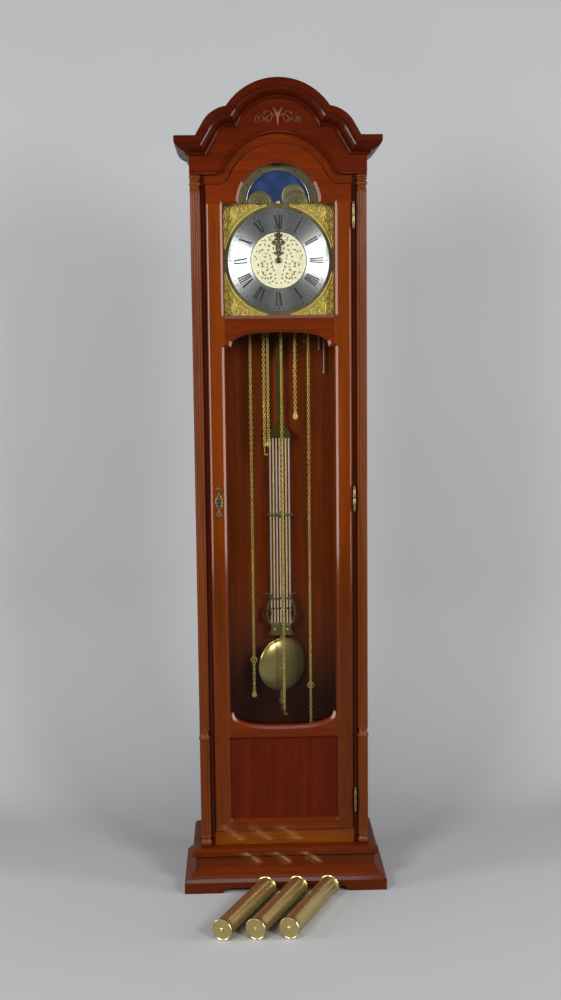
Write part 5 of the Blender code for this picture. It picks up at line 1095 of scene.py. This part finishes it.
# Strokes of the right half of each hand: points, steps and curl, then width and taper for the minute hand
HOUR_STROKES = (
    (((1, 8), (3, 13.5), (7.5, 15.5)), 4, (7, 18.5, 3, -60, 330, 12)),
    (((0.8, 12), (3, 20), (5.8, 28), (5, 33), (1.8, 37)), 5, None),
    (((1.8, 36), (7, 37.5), (12, 39.5)), 4, (11.8, 44, 4, -80, 380, 14)),
    (None, 0, (5.8, 46.5, 4.6, 0, 360, 20, 1.0)),
    (((3, 51), (4, 56), (7.5, 58)), 4, (6.8, 61.2, 3.2, -70, 350, 12)),
    (((3, 56), (3.4, 62), (1.6, 67), (0, 68.5)), 4, None),
)
MINUTE_STROKES = (
    (((0.8, 28), (4.4, 36), (6.6, 44.5), (5, 52), (1.2, 56)), 5, None, 1.8, 1.0),
    (((1.2, 56), (3.6, 64), (3.4, 72), (1.2, 80), (0.6, 86)), 5, None, 1.6, 0.8),
)
HOUR_SPINE = (4, 20, 36, 50, 62, 68)
MINUTE_SPINE = (4, 30, 56, 80, 100, 119)


def hour_hand():
    """The hour hand: a pierced, waved blade round a round boss."""
    low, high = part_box("hour_hand")
    depth = low.y - FRONT + 0.0010
    shape = Shape()
    for stroke in HOUR_STROKES:
        shape.pair(scroll(*stroke, z=DIAL_Z), 0.0025, depth, 0.0010, taper=0.75)
    spine = [(0.0, DIAL_Z + z * MM) for z in HOUR_SPINE]
    shape.strip(spine, 0.0026, depth, 0.0010, taper=0.5)
    boss = ((6.8, 1.1), (7.2, 0.6), (7.0, -0.2), (2.2, -0.2), (2.2, 1.1))
    shape.head(boss, 32, 0, depth, DIAL_Z)
    shape.turned([(0.0032, 0.0), (0.0032, low.y - high.y + 0.001)], 16, facing(0, depth, DIAL_Z))
    piece("hour_hand_pierced", shape, hand_bronze, "hour_hand", ["hour_hand"], 50)


def minute_hand():
    """The minute hand: a long pierced blade, with a domed nut on its boss."""
    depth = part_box("minute_hand")[1].y - FRONT
    shape = Shape()
    for *stroke, width, taper in MINUTE_STROKES:
        shape.pair(scroll(*stroke, z=DIAL_Z), width * MM, depth, 0.0010, taper=taper)
    spine = [(0.0, DIAL_Z + z * MM) for z in MINUTE_SPINE]
    shape.strip(spine, 0.0026, depth, 0.0010, taper=0.35)
    nut = ((0, 3.8), (2.0, 3.6), (3.8, 2.8), (4.8, 1.4), (6.6, 1.0), (6.8, 0.2), (0, 0.2))
    shape.head(nut, 32, 0, depth, DIAL_Z)
    piece("minute_hand_pierced", shape, hand_bronze, "minute_hand", ["minute_hand"], 50)


# Pendulum


def pendulum_grid():
    """Seven rods of steel and brass by turns, with their top bar and brace."""
    steel, brass, holders = Shape(), Shape(), Shape()
    low = LYRE_BOTTOM + 0.024
    profile = [(GRID_RADIUS * 0.6, GRID_TOP + 0.0025), (GRID_RADIUS, GRID_TOP + 0.0020)]
    profile += [(GRID_RADIUS, low), (GRID_RADIUS * 0.6, low - 0.0005)]
    screw = ((0, 1.2), (1.0, 1.1), (1.7, 0.6), (1.8, 0))
    for k in range(7):
        x = (k - 3) * GRID_PITCH
        rods = brass if k % 2 else steel
        rods.turned(profile, 16, Matrix.Translation((x, FRONT + PENDULUM_Y, 0)))
        holders.head(screw, 12, x, PENDULUM_Y - 0.0039, BRACE_Z)
    piece("grid_steel_rods", steel, rod_steel, "pendulum")
    piece("grid_brass_rods", brass, rod_brass, "pendulum")
    half = 3 * GRID_PITCH + 0.0045
    bar = [(-half, GRID_TOP), (half, GRID_TOP), (half, GRID_TOP + 0.0075), (-half, GRID_TOP + 0.0075)]
    holders.sheet([bar], PENDULUM_Y - 0.0033, PENDULUM_Y + 0.0033, 0.0008)
    right = scroll(((0, -8.5), (6, -5), (14, -4.2), (24, -3.4), (30, -2.2), (33.5, 0)), 4)
    right += [(x, -z) for x, z in reversed(right[:-1])]
    brace = mirrored(right, 0.0, BRACE_Z)
    holders.sheet([brace], PENDULUM_Y - 0.0040, PENDULUM_Y + 0.0033, 0.0008)
    piece("grid_holders", holders, lyre_brass, "pendulum", ["pendulum_grid"])


# Strokes of the right half in shares of the lyre's size: points, steps, width, and width at start and end
LYRE_STROKES = (
    (
        ((0.40, 0.22), (0.56, 0.25), (0.76, 0.33), (0.88, 0.46), (0.86, 0.60), (0.74, 0.74), (0.62, 0.84)),
        6, 8.5, 0.9, 0.8,
    ),
    (((0.62, 0.84), (0.66, 0.93), (0.80, 0.95), (0.97, 0.985)), 6, 7.0, 1.0, 0.25),
    (((0.64, 0.86), (0.56, 0.93), (0.52, 0.985)), 4, 5.6, 1.0, 0.2),
    (((0.84, 0.62), (0.68, 0.60), (0.60, 0.50), (0.66, 0.42)), 5, 5.2, 1.0, 0.4),
    (((0.80, 0.42), (0.66, 0.40), (0.58, 0.33)), 5, 5.0, 1.0, 0.3),
    (((0.88, 0.50), (0.97, 0.46), (0.93, 0.36)), 5, 4.6, 1.0, 0.3),
    (((0.46, 0.20), (0.56, 0.12), (0.70, 0.05), (0.88, 0.022)), 5, 6.6, 1.0, 0.5),
)


def lyre():
    """Two scrolled arms on a flared base, tied by two ornate bars, and the rod that carries the bob."""
    shape = Shape()
    base = LYRE_BOTTOM
    for points, steps, width, start, taper in LYRE_STROKES:
        line = [(LYRE_HALF * x, base + LYRE_HEIGHT * z) for x, z in smooth(points, steps)]
        shape.pair(line, width * MM, PENDULUM_Y, 0.0034, ROUND, start=start, taper=taper)
    bead = ((0, 1.6), (1.6, 1.2), (2.4, 0.4), (2.4, -1.0))
    for share, reach in ((0.62, 0.030), (0.84, 0.026)):
        z = base + LYRE_HEIGHT * share
        bar = [(x, z + 0.0012 * cos(x / reach * 3 * pi)) for x in [reach * (k / 15 - 1) for k in range(31)]]
        shape.strip(bar, 0.0042, PENDULUM_Y - 0.0008, 0.0034, ROUND)
        for k in range(7):
            shape.head(bead, 12, (k - 3) * GRID_PITCH, PENDULUM_Y - 0.0036, z)
    flare = scroll(((28.5, 0), (26, 8), (25.5, 22), (22, 31), (12, 33.5), (0, 34.5)), 4)
    shape.sheet([mirrored(flare, 0.0, base)], PENDULUM_Y - 0.0027, PENDULUM_Y + 0.0027, 0.0007)
    piece("lyre", shape, lyre_brass, "pendulum", sharp=60)
    screws = Shape()
    for x in (-0.0165, 0.0165):
        screw = ((0, 1.3), (1.6, 1.2), (2.7, 0.7), (3.0, 0))
        screws.head(screw, 18, x, PENDULUM_Y - 0.0027, base + 0.016)
    piece("lyre_screws", screws, bright_steel, "pendulum")
    stem = Shape()
    tip = NUT_Z - 0.025
    profile = [(0.0017, base + 0.010), (0.0020, base + 0.009), (0.0020, tip + 0.001), (0.0012, tip)]
    stem.turned(profile, 14, Matrix.Translation((0, FRONT + PENDULUM_Y, 0)))
    piece("bob_rod", stem, bright_steel, "pendulum")


def pendulum_bob():
    """A domed brass bob with a rolled rim, turned a little on its rod, and the milled nut under it."""
    shape = Shape()
    axis = Matrix.Translation((0, FRONT + PENDULUM_Y, 0))
    profile = [(0.0, 0.0180)]
    for k in range(1, 17):
        a = pi / 2 * k / 17
        profile.append((BOB_RADIUS * 0.985 * sin(a), 0.0042 + 0.0138 * cos(a) ** 1.2))
    profile += mm((69.7, 4.8), (70.0, 3.6), (69.2, 2.0), (67.0, 0.6), (64.0, 0))
    place = axis @ Matrix.Rotation(BOB_TURN, 4, "Z") @ Matrix.Translation((0, -0.0025, BOB_Z))
    shape.turned(profile, 96, place @ Matrix.Rotation(pi / 2, 4, "X"))
    sleeve = [(0.0030, BOB_Z + 0.056), (0.0044, BOB_Z + 0.055)]
    sleeve += [(0.0044, NUT_Z + 0.0072), (0.0030, NUT_Z + 0.0066)]
    shape.turned(sleeve, 18, axis)
    piece("domed_bob", shape, bob_brass, "bob", ["pendulum_bob"], 50)
    nut = Shape()
    rings = []
    for height, radius, milled in NUT_RINGS:
        ring = []
        for k in range(NUT_STEPS):
            angle = 2 * pi * k / NUT_STEPS
            reach = radius + milled * MILLING * (1 if k // 2 % 2 else -1)
            ring.append((reach * cos(angle), FRONT + PENDULUM_Y + reach * sin(angle), NUT_Z + height))
        rings.append(ring)
    nut.loft(rings)
    piece("milled_nut", nut, bright_brass, "rating_nut", ["rating_nut"], 40)


# Chains and chime rods


# Chains as spool, ends of the left and right fall, twist from link to link, and fittings by side and height
CHAINS = {
    "strike_chain": (
        -0.0558, 0.4766, 1.1166, 0.9, (("ring", -1, 0.570), ("drop_tag", -1, 0.478), ("hook", 1, 1.106)),
    ),
    "going_chain": (-0.0117, 1.1346, 0.4366, 1.3, (("round_tag", -1, 1.130), ("hook", 1, 0.426))),
    "chime_chain": (0.0570, 1.2056, 0.3616, 0.7, (("drop_tag", -1, 1.200), ("ring", 1, 0.500))),
}


def chain(name, spool_x, left_end, right_end, drift, fittings):
    """A link chain over its spool, with the tags, rings and hooks that hang on it."""
    route = [(spool_x - SPOOL_RADIUS, left_end)]
    route += arc(spool_x, SPOOL_Z, SPOOL_RADIUS, pi, 0, 24)
    route += [(spool_x + SPOOL_RADIUS, right_end)]
    lengths = [hypot(b[0] - a[0], b[1] - a[1]) for a, b in zip(route, route[1:])]
    loop = [Vector(spot) for spot in arc(0, LINK_HALF, LINK_BEND, 0, pi, LINK_BEND_STEPS)]
    loop += [-v for v in loop]
    shape = Shape()
    section = [2 * pi * k / 5 for k in range(5)]
    inward = Vector((0, 1, 0))
    part, gone = 0, 0.0
    for link in range(int(sum(lengths) / LINK_PITCH)):
        run = (link + 0.5) * LINK_PITCH
        while run > gone + lengths[part]:
            gone += lengths[part]
            part += 1
        (x, z), (next_x, next_z) = route[part], route[part + 1]
        share = (run - gone) / lengths[part]
        centre = Vector((x + (next_x - x) * share, FRONT + CHAIN_Y, z + (next_z - z) * share))
        along = Vector((next_x - x, 0, next_z - z)).normalized()
        twist = radians(drift * link + 90 * (link % 2))
        across = along.cross(inward) * cos(twist) + inward * sin(twist)
        normal = across.cross(along)
        rings = []
        for v in loop:
            here = centre + across * v.x + along * v.y
            out = (across * v.x + along * (v.y - max(min(v.y, LINK_HALF), -LINK_HALF))).normalized()
            rings.append([here + (out * cos(a) + normal * sin(a)) * LINK_WIRE for a in section])
        shape.loft(rings, wrapped=True)
    for kind, side, z in fittings:
        fitting(shape, kind, spool_x + side * SPOOL_RADIUS, z)
    piece(name + "_links", shape, chain_brass, "case", [name], 80)


def fitting(shape, kind, x, z):
    """A ring, a round or drop-shaped tag, or a hook, which hangs on a fall of a chain."""
    if kind == "ring":
        shape.strip(ring_line(x, z, 0.0075, 28), 0.0022, CHAIN_Y, 0.0011, ROUND, closed=True)
    elif kind == "hook":
        bend = [(x, z + 0.014), (x, z + 0.006)] + arc(x + 0.0036, z, 0.0036, pi, 2.1 * pi, 12)
        shape.strip(bend, 0.0024, CHAIN_Y, 0.0012, ROUND, taper=0.7)
    else:
        loops = [ring_line(x, z, 0.0063, 28), ring_line(x, z + 0.0030, 0.0014, 12)]
        if kind == "drop_tag":
            drop = scroll(((0, 10), (3, 8), (5.8, 1), (5.6, -5), (0, -8.2)), 4)
            loops = [mirrored(drop, x, z), ring_line(x, z + 0.0048, 0.0018, 14)]
        shape.sheet(loops, CHAIN_Y - TAG_HALF, CHAIN_Y + TAG_HALF, 0.0003)


def chime_rods():
    """The chime block, and eight steel rods that are thicker at the head and end in a bead."""
    low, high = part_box("chime_rods")
    block_low = high.z - CHIME_BLOCK_HEIGHT
    block = Shape()
    corners = [(low.x, block_low), (high.x, block_low), (high.x, high.z), (low.x, high.z)]
    block.sheet([corners], low.y - FRONT, high.y - FRONT, 0.0015)
    piece("chime_block", block, bright_steel, "case", ["chime_rods"])
    rods = Shape()
    for k, length in enumerate(CHIME_LENGTHS, 1):
        foot = block_low - length
        profile = [(0.0030, block_low + 0.002), (0.0030, block_low - 0.006), (0.0019, block_low - 0.012)]
        profile += [(r, foot + h) for r, h in mm((1.9, 4.0), (2.6, 3.0), (2.8, 1.4), (1.8, 0))]
        rods.turned(profile, 14, Matrix.Translation((low.x + k * CHIME_PITCH, (low.y + high.y) / 2, 0)))
    piece("chime_rod_set", rods, rod_steel, "case")


# Weights


def weight(index, name):
    """A polished brass shell between flanged caps: a nut on the near one, the hook's stud on the far one."""
    near = Vector((WEIGHT_FIRST_X + WEIGHT_PITCH * index, FRONT + WEIGHT_NEAR_Y, FLANGE_RADIUS))
    along = Vector((sin(WEIGHT_TURN), cos(WEIGHT_TURN), 0))
    place = Matrix.Translation(near) @ along.to_track_quat("Z", "Y").to_matrix().to_4x4()
    end = WEIGHT_LENGTH
    flange = mm((24, 1.4), (25, 1.8), (25.5, 2.8), (25.5, 5.6), (25, 6.6), (24, 7), (23.6, 7.4), (23.6, 9))
    flange.append((SHELL_RADIUS, 0.0096))
    nut = mm((1.6, 1.4), (1.6, 0), (3.4, 0), (4.2, 0.6), (4.2, 2.2), (6, 2.6), (21.5, 2.4), (22.8, 2.2))
    stud = mm((22.8, -2.2), (6, -2.6), (4.5, -2), (4.5, 0), (3.2, 2.2), (3, 5), (0, 6))
    profile = nut + flange + [(SHELL_RADIUS, end * k / 12) for k in range(1, 12)]
    profile += [(r, end - h) for r, h in reversed(flange)] + [(r, end + h) for r, h in stud]
    shape = Shape()
    shape.turned(profile, 64, place)
    piece(name + "_shell", shape, shell_brass, name.split("_")[1] + "_weight", [name], 40)


# Stage, light and camera


def studio():
    """A plain pale floor that sweeps up into the backdrop, seen through from behind."""
    profile = [(FLOOR_NEAR, 0.0)]
    for k in range(SWEEP_STEPS + 1):
        a = pi / 2 * k / SWEEP_STEPS
        profile.append((BACKDROP_Y + SWEEP_RADIUS * sin(a), SWEEP_RADIUS - SWEEP_RADIUS * cos(a)))
    profile.append((BACKDROP_Y + SWEEP_RADIUS, BACKDROP_TOP))
    points = [(x, y, z) for y, z in profile for x in (-FLOOR_HALF, FLOOR_HALF)]
    faces = [(2 * k, 2 * k + 1, 2 * k + 3, 2 * k + 2) for k in range(len(profile) - 1)]
    mesh = bpy.data.meshes.new("studio_floor")
    mesh.from_pydata(points, [], faces)
    mesh.shade_smooth()
    paper = Finish("studio_paper", {"Specular IOR Level": 0.2})
    cloud = paper.noise(paper.spot(), 1.5, 2)
    seen = paper.node("ShaderNodeLightPath", {}, {}, "Is Camera Ray")
    pale = paper.tint(cloud, (0.405, 0.410, 0.420), (0.450, 0.455, 0.465))
    paper.set({"Base Color": paper.tint(seen, (0.200, 0.203, 0.208), pale), "Roughness": 0.75 + cloud * 0.1})
    behind = paper.node("ShaderNodeNewGeometry", {}, {}, "Backfacing")
    through = paper.node("ShaderNodeBsdfTransparent", {}, {})
    paper.blend(behind, Wire(paper, paper.shader.outputs[0]), through)
    mesh.materials.append(paper.material)
    made = bpy.data.objects.new("studio_floor", mesh)
    bpy.context.scene.collection.objects.link(made)


def softbox(name, place, aim, width, height, watts):
    """A soft rectangular lamp that points at a place."""
    lamp = bpy.data.lights.new(name, "AREA")
    lamp.shape = "RECTANGLE"
    lamp.size = width
    lamp.size_y = height
    lamp.energy = watts
    holder = bpy.data.objects.new(name, lamp)
    holder.location = place
    holder.rotation_euler = (Vector(aim) - Vector(place)).to_track_quat("-Z", "Y").to_euler()
    bpy.context.scene.collection.objects.link(holder)


def light_and_camera():
    """Soft lamps on both sides and overhead, a faint glow of the room, and the photo's camera."""
    for side, name in ((-1, "left"), (1, "right")):
        for kind, ((x, y, z), *rest) in (("_strip", STRIP_LIGHT), ("_lamp", LAMP_LIGHT)):
            softbox(name + kind, (side * x, y, z), *rest)
    softbox("overhead", *OVERHEAD_LIGHT)
    world = bpy.data.worlds.new("studio_air")
    world.use_nodes = True
    air = world.node_tree.nodes["Background"]
    air.inputs["Color"].default_value = AIR_COLOUR
    air.inputs["Strength"].default_value = AIR_STRENGTH
    bpy.context.scene.world = world
    camera = bpy.data.cameras.new("camera")
    camera.sensor_width = CAMERA_SENSOR
    camera.lens = CAMERA_LENS
    holder = bpy.data.objects.new("camera", camera)
    place = Matrix.Translation(CAMERA_PLACE)
    for angle, axis in CAMERA_TURNS:
        place = place @ Matrix.Rotation(radians(angle), 4, axis)
    holder.matrix_world = place
    bpy.context.scene.collection.objects.link(holder)
    bpy.context.scene.camera = holder
    bpy.context.scene.view_settings.view_transform = "Standard"


def dress_nodes():
    """Finishes for the nodes that show as they are packed."""
    dress(recess_shade_wood, "front_stile_left", "front_stile_right")
    dress(side_wood, "side_panel_left", "side_panel_right")
    dress(rail_wood, "door_middle_rail", "door_lower_rail", "door_bottom_rail", "front_top_rail")
    dress(foot_rail_wood, "front_bottom_rail")
    dress(top_rail_wood, "door_top_rail")
    dress(panel_wood, "door_panel")
    dress(frieze_wood, "frieze_board")
    dress(plinth_wood, "plinth_skirt", "base_board")
    dress(inner_wood, "back_panel", "top_board", "seat_board")
    dress(glass, "door_glass")
    dress(sky_paint, "moon_disc")
    dress(dull_shaded_dial_brass, "dial_plate")
    dress(bright_brass, "movement_front_plate", "movement_back_plate", "anchor_crutch")
    for kind in ("going_great", "strike_great", "chime_great", "centre", "third", "escape"):
        dress(bright_brass, kind + "_wheel")
    dress(leader_brass, "pendulum_leader")


dress_nodes()
crown_moulding()
column(-1, "column_left")
column(1, "column_right")
door_stile(-1, "door_stile_left")
door_stile(1, "door_stile_right")
window_foot_bevel()
frieze_beads()
frieze_carving()
keyhole_plate()
for level in ("top", "middle", "bottom"):
    hinge(level)
chapter_ring()
numerals()
dial_centre()
for row, up in (("upper", 1), ("lower", -1)):
    for half_name, side in (("left", -1), ("right", 1)):
        spandrel(side, up, "spandrel_" + row + "_" + half_name)
moon_arch()
moons()
hour_hand()
minute_hand()
pendulum_grid()
lyre()
pendulum_bob()
for name, sizes in CHAINS.items():
    chain(name, *sizes)
chime_rods()
for index, name in enumerate(("weight_left", "weight_middle", "weight_right")):
    weight(index, name)
studio()
light_and_camera()
